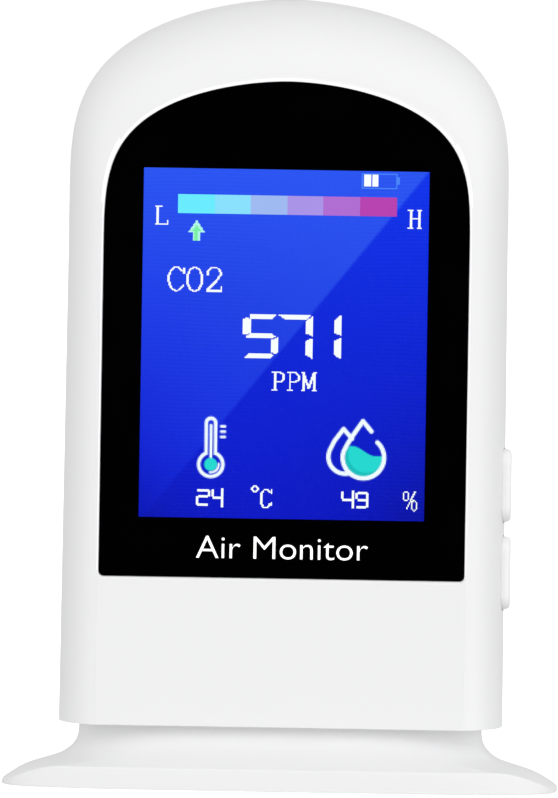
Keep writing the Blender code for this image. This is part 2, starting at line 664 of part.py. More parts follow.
def make_gas_sensor():
    """A plated optical chamber on a pin header, with a membrane over its inlet."""
    chamber = block("co2_sensor_chamber", (-15.0, 15.0), (SENSOR_FRONT, SENSOR_BACK),
                    (70.0, 92.0), ELECTRONICS, "gold_brass", bevel=0.8, segments=2)
    cut(chamber, block("sensor_inlet_cutter", (-11.0, 11.0),
                       (SENSOR_BACK - 0.9, SENSOR_BACK + 1), (76.0, 87.0), ELECTRONICS))
    block("co2_sensor_filter", (-10.8, 10.8), (SENSOR_BACK - 0.8, SENSOR_BACK - 0.2),
          (76.2, 86.8), ELECTRONICS, "filter_membrane")
    block("sensor_header", (-13.0, 13.0), (ON_BOARD, SENSOR_FRONT - 0.1), (71.0, 73.5),
          ELECTRONICS, "black_plastic", bevel=0.2)
    # dust mesh behind the air slots
    block("vent_mesh", (-14.5, 14.5), (12.45, 12.8), (70.8, 96.0), ELECTRONICS, "dark_foam")


# ---------------------------------------------------------------- battery
LEAD_RADIUS = 0.55
# (x, y, z) from the battery to its connector
RED_LEAD = [(14.5, 7.6, 27.7), (14.4, 5.2, 25.2), (12.0, 1.6, 25.6), (8.6, 0.15, 29.0)]
BLACK_LEAD = [(16.0, 9.8, 27.7), (17.0, 7.0, 24.4), (15.2, 2.4, 24.6), (11.4, 0.15, 29.6)]


def lead(name, points, mat):
    """A round wire through the points, with its origin at the first."""
    curve = bpy.data.curves.new(name, "CURVE")
    curve.dimensions = "3D"
    curve.resolution_u = 4
    curve.bevel_depth = LEAD_RADIUS * MM
    curve.bevel_resolution = 1
    curve.use_fill_caps = True
    spline = curve.splines.new("BEZIER")
    spline.bezier_points.add(len(points) - 1)
    for knot, point in zip(spline.bezier_points, points):
        knot.co = (Vector(point) - Vector(points[0])) * MM
        knot.handle_left_type = knot.handle_right_type = "AUTO"
    curve.materials.append(MATERIALS[mat])
    place(bpy.data.objects.new(name, curve), points[0], ELECTRONICS)


def make_battery():
    block("battery_cell", BATTERY_X, BATTERY_Y, BATTERY_Z, ELECTRONICS, "battery_foil",
          bevel=1.2, segments=3)
    block("battery_pad", (-12.0, 12.0), (BATTERY_Y[1] + 0.1, REAR_WALL_IN - 0.1),
          (33.0, 55.0), ELECTRONICS, "dark_foam")
    lead("battery_lead_red", RED_LEAD, "red_wire")
    lead("battery_lead_black", BLACK_LEAD, "black_wire")


# ---------------------------------------------------------------- charging socket
USB_SIZE = (4.47, 1.6)          # half width, half height
USB_WALL = 0.3
USB_FRONT, USB_BACK = 6.0, 14.3
TONGUE_HALF_THICK = 0.35
# (y, z) from behind the socket's inner end to the circuit board
CHARGE_CABLE_PATH = [(USB_FRONT - 0.35, 19.2), (2.0, 19.2), (-1.0, 19.9), (-3.2, 21.6),
                     (-4.4, 24.0), (-4.7, 26.5)]


def make_charging_socket():
    """The charging board with its socket, at the bottom of the rear shell."""
    block("charge_board", (-9.0, 9.0), (3.9, 12.6), (17.6, 18.8), ELECTRONICS, "green_board")
    centre = (0.0, USB_Z)
    socket = loft("usb_socket", slot("Y", centre, USB_SIZE, [(USB_FRONT, 0.0), (USB_BACK, 0.0)], 6),
                  ELECTRONICS, "nickel", (0, USB_BACK, USB_Z))
    cut(socket, loft("usb_mouth_cutter",
                     slot("Y", centre, USB_SIZE, [(8.0, -USB_WALL), (15.5, -USB_WALL)], 6),
                     ELECTRONICS))
    join(socket, block("usb_tongue", (-3.3, 3.3), (7.5, 13.4),
                       (USB_Z - TONGUE_HALF_THICK, USB_Z + TONGUE_HALF_THICK), ELECTRONICS))
    ribbon("charge_cable", CHARGE_CABLE_PATH, half_width=3.2, thickness=0.4, x_centre=-1.0,
           mat="amber_flex", parent=ELECTRONICS)


# ---------------------------------------------------------------- foot
RIM_HALF_X, RIM_HALF_Y, RIM_POWER = 42.05, 19.0, 5.0
NECK_HALF_X, NECK_HALF_Y, NECK_POWER = 30.4, 12.35, 3.6
FOOT_TOP = 9.52
FOOT_CEILING = 7.5
# flare of the foot, rim to neck: half width, height above the rim at the side tips, and the
# height along the front and back, where the rim stands up as a wall before it slopes in
FOOT_RINGS = [
    (41.8, 0.0, 0.0), (RIM_HALF_X, 0.3, 0.35), (41.97, 0.46, 3.3), (41.6, 0.65, 3.82),
    (40.8, 1.22, 4.12), (39.95, 1.75, 4.37), (38.75, 2.3, 4.72), (37.2, 2.88, 5.17),
    (35.4, 3.48, 5.7), (33.65, 4.15, 6.3), (32.4, 4.9, 6.8), (31.6, 5.6, 7.25),
    (30.9, 6.55, 7.9), (30.55, 7.75, 8.45),
    (NECK_HALF_X, FOOT_TOP - PAD_PROUD, FOOT_TOP - PAD_PROUD),
]
TIP_RUN, TIP_EASE = 13.0, 1.6   # how far in from a tip the wall reaches its full height
# hollow under the foot: half width, half depth, exponent, height
FOOT_CAVITY = [
    (36.3, 15.9, 4.6, -0.6), (36.3, 15.9, 4.6, 2.25), (34.0, 15.0, 4.6, 2.25),
    (32.8, 14.8, 3.8, 3.0), (31.8, 14.4, 3.8, 3.6), (30.4, 13.3, 3.8, 4.6),
    (29.4, 12.4, 3.8, 5.6), (28.6, 11.5, 3.8, FOOT_CEILING),
]

PLATE_SCREWS = [(-27.0, 0.0), (27.0, 0.0)]
PLATE_SIZE = (36.0, 15.6, 4.6)  # half width, half depth, exponent
PLATE_BOTTOM, PLATE_TOP = 0.8, 2.1
PLATE_SEAT = 2.6                # ceiling of the counterbore for a plate screw
PLATE_HOLE = [(0.0, 2.2), (PLATE_SEAT, 2.2), (PLATE_SEAT, 1.3), (5.0, 1.3)]    # z, radius

PAD_POSITIONS = [(-27.0, -10.3), (27.0, -10.3), (-27.0, 10.3), (27.0, 10.3)]
PAD_RADIUS = 4.0
PAD_PROFILE = [(0.0, PAD_RADIUS - 0.2), (0.2, PAD_RADIUS), (0.7, PAD_RADIUS)]  # z, radius


def foot_ring(half_x, tip_height, front_height):
    """One ring of the foot: low at the side tips, higher along the front and back."""
    share = (RIM_HALF_X - half_x) / (RIM_HALF_X - NECK_HALF_X)
    half_y = RIM_HALF_Y + (NECK_HALF_Y - RIM_HALF_Y) * share
    power = RIM_POWER + (NECK_POWER - RIM_POWER) * share
    ring = []
    for x, y, z in superellipse(half_x, half_y, power, PAD_PROUD + tip_height, count=14):
        run = min(1.0, (RIM_HALF_X - abs(x) * RIM_HALF_X / half_x) / TIP_RUN)
        lift = 1 - (1 - max(run, 0.0)) ** TIP_EASE
        ring.append((x, y, z + (front_height - tip_height) * lift))
    return ring


def make_foot_shell():
    shell = loft("foot_shell", [foot_ring(*row) for row in FOOT_RINGS], FOOT, "white_abs",
                 (0, 0, FOOT_TOP))
    cut(shell, loft("foot_cavity_cutter", [superellipse(*row) for row in FOOT_CAVITY], FOOT))
    join(shell, solids("foot_bosses", cylinders("Z", PLATE_SCREWS, 4.4, FOOT_CEILING + FUSE,
                                                2.6, 16), FOOT))
    cut(shell, solids(
        "foot_hole_cutter",
        cylinders("Z", FOOT_SCREWS, FOOT_CEILING - 1, FOOT_TOP + 1, 1.3, 12)
        + cylinders("Z", PLATE_SCREWS, 3.0, 8.3, PILOT_RADIUS, 12), FOOT))
    for i, (x, y) in enumerate(FOOT_SCREWS, 1):
        screw(f"foot_screw_{i}", (x, y, FOOT_CEILING - HEAD_GAP), (0, 0, 1), 8.4, FOOT)


def make_foot_plate():
    """The cover under the foot, with cups that hold its screws."""
    plate = loft("foot_plate", [superellipse(*PLATE_SIZE, z) for z in (PLATE_BOTTOM, PLATE_TOP)],
                 FOOT, "white_abs", (0, 0, PLATE_BOTTOM))
    join(plate, solids("plate_cups", cylinders("Z", PLATE_SCREWS, 1.6, 4.2, 3.2, 16), FOOT))
    holes = [turned("Z", centre, PLATE_HOLE, 16) for centre in PLATE_SCREWS]
    cut(plate, solids("plate_hole_cutter", holes, FOOT, origin=(0, 0, 0)))
    for i, (x, y) in enumerate(PLATE_SCREWS, 1):
        screw(f"plate_screw_{i}", (x, y, PLATE_SEAT - HEAD_GAP), (0, 0, 1), 5.2, FOOT,
              head_height=1.2)


def make_ballast_and_pads():
    block("foot_ballast", (-22.0, 22.0), (-8.6, 8.6), (2.65, 5.2), FOOT, "ballast_steel",
          bevel=0.5)
    for i, (x, y) in enumerate(PAD_POSITIONS, 1):
        loft(f"foot_pad_{i}", turned("Z", (x, y), PAD_PROFILE, 20), FOOT, "grey_rubber",
             (x, y, 0))


# ---------------------------------------------------------------- build
make_front_shell()
make_rear_shell()
make_window()
make_display_module()
for button_label, button_z in BUTTON_ROWS.items():
    make_button(button_label, button_z)
    make_switch(button_label, button_z)
make_board()
make_gas_sensor()
make_battery()
make_charging_socket()
make_foot_shell()
make_foot_plate()
make_ballast_and_pads()
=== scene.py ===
"""A desk air monitor: an upright arched case on a flared foot, with a lit display.

X runs across the device, Y from its front (negative) to its rear, and Z upwards from the
table. Sizes are in millimetres and become metres as each mesh is made.
"""

import json
import math

import bmesh
import bpy
import numpy as np
from mathutils import Matrix, Vector


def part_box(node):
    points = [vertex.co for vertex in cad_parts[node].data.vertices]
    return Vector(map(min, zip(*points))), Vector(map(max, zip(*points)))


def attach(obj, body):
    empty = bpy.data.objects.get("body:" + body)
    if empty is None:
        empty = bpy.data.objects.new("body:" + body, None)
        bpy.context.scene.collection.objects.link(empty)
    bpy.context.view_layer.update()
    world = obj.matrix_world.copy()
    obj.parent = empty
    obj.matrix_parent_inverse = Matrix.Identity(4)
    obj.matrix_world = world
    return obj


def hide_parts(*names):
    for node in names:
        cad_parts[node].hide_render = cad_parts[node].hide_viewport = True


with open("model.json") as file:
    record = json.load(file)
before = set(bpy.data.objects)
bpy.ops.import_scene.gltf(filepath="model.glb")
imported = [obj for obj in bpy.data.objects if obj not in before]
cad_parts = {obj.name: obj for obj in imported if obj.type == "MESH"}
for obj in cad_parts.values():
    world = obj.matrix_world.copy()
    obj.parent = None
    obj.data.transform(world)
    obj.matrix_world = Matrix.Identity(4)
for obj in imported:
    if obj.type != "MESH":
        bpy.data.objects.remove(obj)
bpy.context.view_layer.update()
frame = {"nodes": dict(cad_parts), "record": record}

MM = 0.001


def box_mm(node):
    """The low and high corners of a CAD piece."""
    lo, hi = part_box(node)
    return lo / MM, hi / MM


def screw_centres(prefix, axes):
    """Where the screws with this name prefix stand, on two axes (0, 1, 2 for x, y, z)."""
    boxes = [box_mm(name) for name in sorted(frame["nodes"]) if name.startswith(prefix)]
    return [tuple((lo[axis] + hi[axis]) / 2 for axis in axes) for lo, hi in boxes]


# ---------------------------------------------------------------- sizes read from the CAD pieces
front_lo, front_hi = box_mm("front_shell")
lens_lo, lens_hi = box_mm("display_lens")
mask_lo, mask_hi = box_mm("lens_mask")
lcd_lo, lcd_hi = box_mm("lcd_panel")
foot_lo, foot_hi = box_mm("foot_shell")
plate_lo, plate_hi = box_mm("foot_plate")
usb_lo, usb_hi = box_mm("usb_socket")

CASE_SCREWS = screw_centres("case_screw", (0, 2))
BOARD_SCREWS = screw_centres("board_screw", (0, 2))
PLATE_SCREWS = screw_centres("plate_screw", (0, 1))
FOOT_SCREWS = screw_centres("foot_screw", (0, 1))
FRONT_FOOT_SCREWS = [centre for centre in FOOT_SCREWS if centre[1] < 0]
REAR_FOOT_SCREWS = [centre for centre in FOOT_SCREWS if centre[1] > 0]

# ---------------------------------------------------------------- driving dimensions
BODY_BOTTOM, BODY_TOP = front_lo.z, front_hi.z
BODY_HALF_BOTTOM = front_hi.x
BODY_HALF_TOP = BODY_HALF_BOTTOM - 0.39
BODY_ARCH = 30.06                        # height of the arch above where it springs
BODY_POWERS = (1.84, 3.33)               # exponents of the arch, in x and in z
FRONT_Y, PART_Y = front_lo.y, front_hi.y
REAR_Y = box_mm("rear_shell")[1].y
BELT_FRONT_Y = PART_Y - 3.0              # where the front edge starts to roll over
SEAM = 0.15                              # gap between the two housings
SEAM_CHAMFER = 0.14
WALL = 2.0
FRONT_WALL_IN, REAR_WALL_IN = FRONT_Y + 2.7, REAR_Y - WALL

LENS_HALF, LENS_TOP, LENS_BOTTOM = lens_hi.x, lens_hi.z, lens_lo.z
LENS_ARCH = 27.33
LENS_POWERS = (1.797, 4.127)
LENS_CORNER = 0.8                        # radius of the window's two lower corners

# the flat part of the front and rear faces, inside the rolled edge
FLAT_HALF, FLAT_TOP = LENS_HALF + 0.3, LENS_TOP + 0.5
FLAT_ARCH = 27.6
FLAT_POWERS = (1.80, 4.13)

# the part of the display seen through the black print
VIEW_HALF, VIEW_X = 21.53, -0.16
VIEW_BOTTOM, VIEW_TOP = 41.13, 93.85

# segment counts of the housings: arch quarter and straight side, outside and inside
OUTER_SEGMENTS = (84, 30)
INNER_SEGMENTS = (40, 8)


# ---------------------------------------------------------------- outlines
def resample(points, count):
    """The same line through evenly spaced points."""
    p = np.array(points, float)
    run = np.concatenate([[0], np.cumsum(np.hypot(*(p[1:] - p[:-1]).T))])
    places = np.linspace(0, run[-1], count + 1)
    return [(float(x), float(z)) for x, z in zip(np.interp(places, run, p[:, 0]),
                                                 np.interp(places, run, p[:, 1]))]


def quarter(half_x, half_z, powers, count):
    """A quarter of |x/half_x|^n + |z/half_z|^m = 1, from the x axis to the z axis."""
    angle = np.linspace(0, math.pi / 2, 4001)
    x = half_x * np.cos(angle).clip(0) ** (2 / powers[0])
    z = half_z * np.sin(angle).clip(0) ** (2 / powers[1])
    x[0], z[0] = half_x, 0
    x[-1], z[-1] = 0, half_z
    return resample(list(zip(x, z)), count)


def arch_outline(half, half_bottom, arch, powers, top, bottom, segments):
    """(x, z) points up the right side, over the arch and down the left side."""
    arch_segments, side = segments
    spring = top - arch
    right = [(half_bottom + (half - half_bottom) * i / side, bottom + (spring - bottom) * i / side)
             for i in range(side)]
    curve = [(x, spring + z) for x, z in quarter(half, arch, powers, arch_segments)]
    return (right + curve + [(-x, z) for x, z in reversed(curve[:-1])]
            + [(-x, z) for x, z in reversed(right)])


def body_outline(inset=0.0, bottom_inset=0.0, segments=OUTER_SEGMENTS):
    return arch_outline(BODY_HALF_TOP - inset, BODY_HALF_BOTTOM - inset, BODY_ARCH - inset,
                        BODY_POWERS, BODY_TOP - inset, BODY_BOTTOM + bottom_inset, segments)


def flat_outline(inset=0.0, bottom_inset=0.0, segments=OUTER_SEGMENTS):
    return arch_outline(FLAT_HALF - inset, FLAT_HALF - inset, FLAT_ARCH - inset,
                        FLAT_POWERS, FLAT_TOP - inset, BODY_BOTTOM + bottom_inset, segments)


def window_outline(grow=0.0):
    """The lens outline, with rounded lower corners."""
    corner_steps = 8
    half, bottom, radius = LENS_HALF + grow, LENS_BOTTOM - grow, LENS_CORNER + grow
    points = arch_outline(half, half, LENS_ARCH + grow, LENS_POWERS, LENS_TOP + grow, bottom,
                          segments=(72, 1))
    angles = [-math.pi / 2 + math.pi / 2 * i / corner_steps for i in range(corner_steps + 1)]
    lower = [(half - radius + radius * math.cos(t), bottom + radius + radius * math.sin(t))
             for t in angles]
    return lower + points[1:-1] + [(-x, z) for x, z in reversed(lower)]


def at_y(outline, y):
    return [(x, y, z) for x, z in outline]


def window_rings(*profile):
    """Rings of the window outline; the rows of the profile are y and growth."""
    return [at_y(window_outline(grow), y) for y, grow in profile]


def rolled_rings(outer, flat, belt_y, face_y, steps, last=90.0):
    """A rolled edge along a quarter ellipse. It meets the face squarely when last is 90
    degrees, and at a slight crease when it stops short of that."""
    rings, end = [], math.radians(last)
    for i in range(steps + 1):
        t = end * i / steps
        share = (math.cos(t) - math.cos(end)) / (1 - math.cos(end))
        y = belt_y + (face_y - belt_y) * math.sin(t) / math.sin(end)
        rings.append([(flat_x + (outer_x - flat_x) * share, y, flat_z + (outer_z - flat_z) * share)
                      for (outer_x, outer_z), (flat_x, flat_z) in zip(outer, flat)])
    return rings


def on_axis(axis, at, u, v):
    """A point at a place on one axis, with u and v on the other two in order."""
    return {"X": (at, u, v), "Y": (u, at, v), "Z": (u, v, at)}[axis]


def slot_ring(axis, at, centre, half_long, half_short, segments, upright=False):
    """A round-ended slot, long in v when upright and in u otherwise."""
    ring, run = [], half_long - half_short
    for end, start in ((1, -math.pi / 2), (-1, math.pi / 2)):
        for i in range(segments + 1):
            t = start + math.pi * i / segments
            along, across = end * run + half_short * math.cos(t), half_short * math.sin(t)
            u, v = (-across, along) if upright else (along, across)
            ring.append(on_axis(axis, at, centre[0] + u, centre[1] + v))
    return ring


def slot_rings(axis, centre, half_long, half_short, profile, segments, upright=False):
    """Slot rings; the rows of the profile are the place on the axis and growth."""
    return [slot_ring(axis, at, centre, half_long + grow, half_short + grow, segments, upright)
            for at, grow in profile]


def circle_ring(axis, at, centre, radius, segments):
    angles = [2 * math.pi * i / segments for i in range(segments)]
    return [on_axis(axis, at, centre[0] + radius * math.cos(t), centre[1] + radius * math.sin(t))
            for t in angles]


def turned(axis, centres, profile, segments):
    """A round loft at each centre; the rows of the profile are the place and radius."""
    return [[circle_ring(axis, at, centre, radius, segments) for at, radius in profile]
            for centre in centres]


def posts(axis, centres, radius, span, segments=24):
    """A plain cylinder at each centre, over a span of the axis."""
    return turned(axis, centres, [(at, radius) for at in span], segments)


def superellipse(half_x, half_y, power, z, count):
    curve = quarter(half_x, half_y, (power, power), count)
    ring = curve[:-1] + [(-x, y) for x, y in reversed(curve)][:-1]
    ring += [(-x, -y) for x, y in curve][:-1] + [(x, -y) for x, y in reversed(curve)][:-1]
    return [(x, y, z) for x, y in ring]


def box_rings(low, high):
    (x0, y0, z0), (x1, y1, z1) = low, high
    return [[(x0, y0, z), (x1, y0, z), (x1, y1, z), (x0, y1, z)] for z in (z0, z1)]


# ---------------------------------------------------------------- solids
def add_loft(bm, rings):
    """Joins rings of equal length into a closed solid."""
    made = [[bm.verts.new(point) for point in ring] for ring in rings]
    count = len(made[0])
    for a, b in zip(made, made[1:]):
        for i in range(count):
            j = (i + 1) % count
            bm.faces.new((a[i], a[j], b[j], b[i]))
    bm.faces.new(made[0])
    bm.faces.new(made[-1])


def to_object(name, bm):
    bmesh.ops.recalc_face_normals(bm, faces=bm.faces)
    for vert in bm.verts:
        vert.co *= MM
    mesh = bpy.data.meshes.new(name)
    bm.to_mesh(mesh)
    bm.free()
    return link_object(name, mesh)


def link_object(name, data):
    obj = bpy.data.objects.new(name, data)
    bpy.context.scene.collection.objects.link(obj)
    return obj


def solid(name, *lofts):
    bm = bmesh.new()
    for rings in lofts:
        add_loft(bm, rings)
    return to_object(name, bm)


def boolean(target, other, operation):
    """Applies another object to the target and removes it."""
    modifier = target.modifiers.new("cut", "BOOLEAN")
    modifier.operation = operation
    modifier.object = other
    modifier.solver = "EXACT"
    bpy.context.view_layer.update()
    result = bpy.data.meshes.new_from_object(
        target.evaluated_get(bpy.context.evaluated_depsgraph_get()))
    target.modifiers.clear()
    target.data = result
    bpy.data.objects.remove(other, do_unlink=True)


def cut(target, *lofts):
    boolean(target, solid("tool", *lofts), "DIFFERENCE")


def join(target, *lofts):
    boolean(target, solid("tool", *lofts), "UNION")


def smooth(obj):
    """Smooth faces with normals weighted by face area, so flats stay flat beside curves."""
    obj.data.shade_smooth()
    obj.data.set_sharp_from_angle(angle=math.radians(32.0))
    modifier = obj.modifiers.new("weighted", "WEIGHTED_NORMAL")
    modifier.mode = "FACE_AREA"
    modifier.weight = 60
    modifier.keep_sharp = True
    return obj


# ---------------------------------------------------------------- shader helpers
MATERIALS = {}


class Graph:
    """Short helpers over a node tree. An input is given a socket to link or a plain value."""

    def __init__(self, tree):
        self.tree = tree

    def set(self, node, inputs):
        for key, value in inputs.items():
            socket = node.inputs[key]
            if isinstance(value, bpy.types.NodeSocket):
                self.tree.links.new(value, socket)
            elif socket.type == "RGBA":
                socket.default_value = (*value, 1.0)
            else:
                socket.default_value = value

    def add(self, kind, inputs=None, **settings):
        node = self.tree.nodes.new(kind)
        for key, value in settings.items():
            setattr(node, key, value)
        self.set(node, inputs or {})
        return node

    def math(self, operation, first, second, clamp=False):
        return self.add("ShaderNodeMath", {0: first, 1: second},
                        operation=operation, use_clamp=clamp).outputs[0]


class Surface(Graph):
    """A new material, kept in MATERIALS under its name."""

    def __init__(self, name):
        material = bpy.data.materials.new(name)
        material.use_nodes = True
        MATERIALS[name] = material
        super().__init__(material.node_tree)
        self.shader = self.tree.nodes["Principled BSDF"]
        self.coord = self.add("ShaderNodeTexCoord").outputs["Object"]

    def shade(self, inputs):
        """Sets inputs of the principled shader."""
        self.set(self.shader, inputs)

    def scaled(self, scale):
        return self.add("ShaderNodeMapping",
                        {"Scale": scale, "Vector": self.coord}).outputs["Vector"]

    def noise(self, scale, detail=3.0, rough=0.5, stretch=None):
        vector = self.scaled(stretch) if stretch else self.coord
        return self.add("ShaderNodeTexNoise", {"Scale": scale, "Detail": detail,
                                               "Roughness": rough, "Vector": vector}).outputs["Fac"]

    def spread(self, value, low, high):
        """Maps the middle range of a noise to low..high."""
        return self.remap(value, 0.3, 0.7, low, high)

    def remap(self, value, from_low, from_high, low=0.0, high=1.0):
        return self.add("ShaderNodeMapRange", {
            "From Min": from_low, "From Max": from_high, "To Min": low, "To Max": high,
            "Value": value}).outputs["Result"]

    def mix(self, share, first, second):
        # 0, 6 and 7 are the factor and the two colours; output 2 is the mixed colour
        return self.add("ShaderNodeMix", {0: share, 6: first, 7: second},
                        data_type="RGBA").outputs[2]

    def axes(self, vector):
        return self.add("ShaderNodeSeparateXYZ", {0: vector}).outputs

    def bump(self, height, strength, distance):
        node = self.add("ShaderNodeBump",
                        {"Strength": strength, "Distance": distance, "Height": height})
        self.shade({"Normal": node.outputs["Normal"]})


def scaled_colour(colour, factor):
    return tuple(min(1.0, channel * factor) for channel in colour)


def lighten_convex_edges(surface, amount, colour, base):
    """Lightens convex edges and curves, and none of the faces square to an axis."""
    geometry = surface.add("ShaderNodeNewGeometry").outputs
    raised = surface.remap(geometry["Pointiness"], 0.52, 0.62)
    size = surface.add("ShaderNodeVectorMath", {0: geometry["True Normal"]}, operation="ABSOLUTE")
    axes = surface.axes(size.outputs["Vector"])
    largest = surface.math("MAXIMUM", surface.math("MAXIMUM", axes["X"], axes["Y"]), axes["Z"])
    edge_lightening = surface.math("MULTIPLY", surface.math("MULTIPLY", raised, amount),
                        surface.math("LESS_THAN", largest, 0.9995))
    light = scaled_colour(colour, 1.6) if max(colour) < 0.6 else (1, 1, 1)
    return surface.mix(edge_lightening, base, light)


def plain(name, colour, roughness, metallic=0.0, vary=0.03, patch=60.0, grain=3000.0,
          bump=0.15, depth=0.00002, rough_vary=0.05, stretch=None, specular=0.5, edge=0.0):
    """Colour that drifts slowly, a fine grain in roughness and height, and convex edges and
    curves that are a little lighter.

    vary and patch are the amount and noise scale of the colour drift; grain and stretch are
    the scale of the fine noise; bump and depth are the strength and height of the grain;
    edge is the amount of that edge lightening.
    """
    surface = Surface(name)
    slow = surface.noise(patch, detail=4.0, rough=0.6)
    base = surface.mix(slow, scaled_colour(colour, 1 - vary), scaled_colour(colour, 1 + vary))
    if edge:
        base = lighten_convex_edges(surface, edge, colour, base)
    fine = surface.noise(grain, detail=2.0, rough=0.55, stretch=stretch)
    surface.shade({
        "Base Color": base,
        "Roughness": surface.spread(fine, roughness - rough_vary, roughness + rough_vary),
        "Metallic": metallic,
        "Specular IOR Level": specular,
    })
    surface.bump(fine, bump, depth)
    return surface


# ---------------------------------------------------------------- materials
WHITE_PLASTIC = (0.875, 0.875, 0.88)


def polished_edge():
    """Polished white plastic with a painted highlight: it is whiter than the white plastic,
    and an emission glow, strongest on downward faces, stands in for light from the table.
    """
    surface = plain("polished_edge", colour=(0.97, 0.97, 0.975), roughness=0.25, vary=0.004,
                    patch=90, grain=3200, bump=0.03, depth=0.00001, rough_vary=0.02)
    normal = surface.add("ShaderNodeNewGeometry").outputs["Normal"]
    # painted highlight: an emission glow, strongest on faces that point down
    painted_glow = surface.remap(surface.axes(normal)["Z"], from_low=0.0, from_high=-0.7,
                         low=0.11, high=0.36)
    surface.shade({"Emission Color": (1, 1, 1), "Emission Strength": painted_glow})


def green_board():
    """Green solder mask with lighter tracks in a brick pattern."""
    surface = Surface("green_board")
    tracks = surface.add("ShaderNodeTexBrick", {
        "Scale": 220, "Mortar Size": 0.06, "Vector": surface.scaled((1, 1, 1))}).outputs["Fac"]
    solder = surface.mix(surface.noise(80), (0.012, 0.14, 0.055), (0.02, 0.20, 0.085))
    half_tracks = surface.math("MULTIPLY", tracks, 0.5)
    surface.shade({"Base Color": surface.mix(half_tracks, solder, (0.03, 0.30, 0.13)),
                   "Roughness": 0.42})
    surface.bump(tracks, strength=0.2, distance=0.00003)


def weave(name, dark, light, scale, roughness):
    """A square weave: crossing threads, with gaps that read dark."""
    surface = Surface(name)
    waves = [surface.add("ShaderNodeTexWave",
                         {"Scale": scale, "Distortion": 0.4, "Vector": surface.coord},
                         bands_direction=direction).outputs["Fac"] for direction in ("X", "Z")]
    thread = surface.math("MAXIMUM", *waves)
    surface.shade({"Base Color": surface.mix(thread, dark, light), "Roughness": roughness})
    surface.bump(thread, strength=0.6, distance=0.0001)


def black_print():
    surface = Surface("black_print")
    surface.shade({
        "Base Color": surface.mix(surface.noise(120), (0.0001,) * 3, (0.0003,) * 3),
        "Roughness": surface.spread(surface.noise(3500), 0.45, 0.6),
        "Specular IOR Level": 0.0,
    })


def clear_acrylic():
    """Clear polished acrylic: sees straight through, with a Fresnel reflection on top."""
    surface = Surface("clear_acrylic")
    surface.tree.nodes.remove(surface.shader)
    clear = surface.add("ShaderNodeBsdfTransparent", {"Color": (0.985, 0.985, 0.985)})
    polish = surface.spread(surface.noise(140, detail=5.0, rough=0.6), 0.02, 0.07)
    gloss = surface.add("ShaderNodeBsdfGlossy", {"Roughness": polish})
    fresnel = surface.add("ShaderNodeFresnel", {"IOR": 1.40})
    # only the outer side reflects: the ray isn't bent here, so the inner side would mirror it all
    inner = surface.add("ShaderNodeNewGeometry").outputs["Backfacing"]
    share = surface.math("MULTIPLY", fresnel.outputs[0], surface.math("SUBTRACT", 1.0, inner))
    blend = surface.add("ShaderNodeMixShader",
                        {0: share, 1: clear.outputs[0], 2: gloss.outputs[0]})
    surface.set(surface.tree.nodes["Material Output"], {"Surface": blend.outputs[0]})


def screen_glass():
    """Dark glass that glows with the colours of the picture attribute."""
    surface = Surface("screen_glass")
    picture = surface.add("ShaderNodeAttribute", attribute_name="picture")
    surface.shade({
        "Base Color": (0.002, 0.002, 0.003),
        "Specular IOR Level": 0.1,
        "Roughness": surface.spread(surface.noise(900), 0.22, 0.3),
        "Emission Color": picture.outputs["Color"],
        "Emission Strength": surface.spread(surface.noise(38, detail=2.0), 0.975, 1.025),
    })


def white_ink():
    surface = Surface("white_ink")
    surface.shade({
        "Base Color": surface.mix(surface.noise(700), (0.80,) * 3, (0.90,) * 3),
        "Roughness": 0.6,
        # painted glow: the printed letters give out light of their own
        "Emission Color": (1, 1, 1),
        "Emission Strength": 0.75,
    })


def make_materials():
    plain("white_abs", colour=WHITE_PLASTIC, roughness=0.42, vary=0.006, patch=45, grain=2600,
          bump=0.10, depth=0.00001, rough_vary=0.04, specular=0.4, edge=0.25)
    plain("white_button", colour=WHITE_PLASTIC, roughness=0.34, vary=0.006, patch=90,
          grain=3200, bump=0.06, depth=0.00001, rough_vary=0.03, specular=0.4, edge=0.3)
    polished_edge()
    plain("steel_tray", colour=(0.62, 0.63, 0.65), roughness=0.32, metallic=1.0, grain=900,
          stretch=(1, 1, 14), bump=0.2)
    plain("amber_flex", colour=(0.62, 0.30, 0.06), roughness=0.38, vary=0.08, grain=1200)
    plain("black_plastic", colour=(0.022, 0.022, 0.024), roughness=0.5, vary=0.15, grain=4000,
          bump=0.3, edge=0.2)
    plain("chip_epoxy", colour=(0.02, 0.02, 0.022), roughness=0.6, vary=0.2, grain=6000,
          bump=0.4)
    plain("ferrite", colour=(0.07, 0.07, 0.075), roughness=0.65, vary=0.2, grain=5000, bump=0.5)
    plain("nickel", colour=(0.72, 0.71, 0.68), roughness=0.24, metallic=1.0, vary=0.05,
          grain=1500, stretch=(1, 8, 1), bump=0.12)
    plain("gold_brass", colour=(0.83, 0.62, 0.26), roughness=0.3, metallic=1.0, vary=0.06,
          grain=1800)
    plain("connector_nylon", colour=(0.80, 0.78, 0.70), roughness=0.5)
    plain("battery_foil", colour=(0.60, 0.61, 0.63), roughness=0.35, metallic=0.7, vary=0.05,
          grain=700, bump=0.3, depth=0.00006)
    plain("red_wire", colour=(0.55, 0.02, 0.02), roughness=0.45, vary=0.06)
    plain("black_wire", colour=(0.015, 0.015, 0.015), roughness=0.45, vary=0.1)
    plain("screw_steel", colour=(0.55, 0.56, 0.58), roughness=0.28, metallic=1.0, vary=0.08,
          grain=2600, edge=0.3)
    plain("ballast_steel", colour=(0.40, 0.41, 0.43), roughness=0.45, metallic=1.0, vary=0.15,
          grain=900, stretch=(10, 1, 1), bump=0.25)
    plain("grey_rubber", colour=(0.15, 0.15, 0.16), roughness=0.85, vary=0.12, grain=2400,
          bump=0.5, depth=0.00004, specular=0.25)
    green_board()
    weave("filter_membrane", dark=(0.55, 0.55, 0.52), light=(0.86, 0.86, 0.83), scale=450,
          roughness=0.9)
    weave("dark_foam", dark=(0.008, 0.008, 0.009), light=(0.07, 0.07, 0.075), scale=420,
          roughness=0.9)
    black_print()
    clear_acrylic()
    screen_glass()
    white_ink()


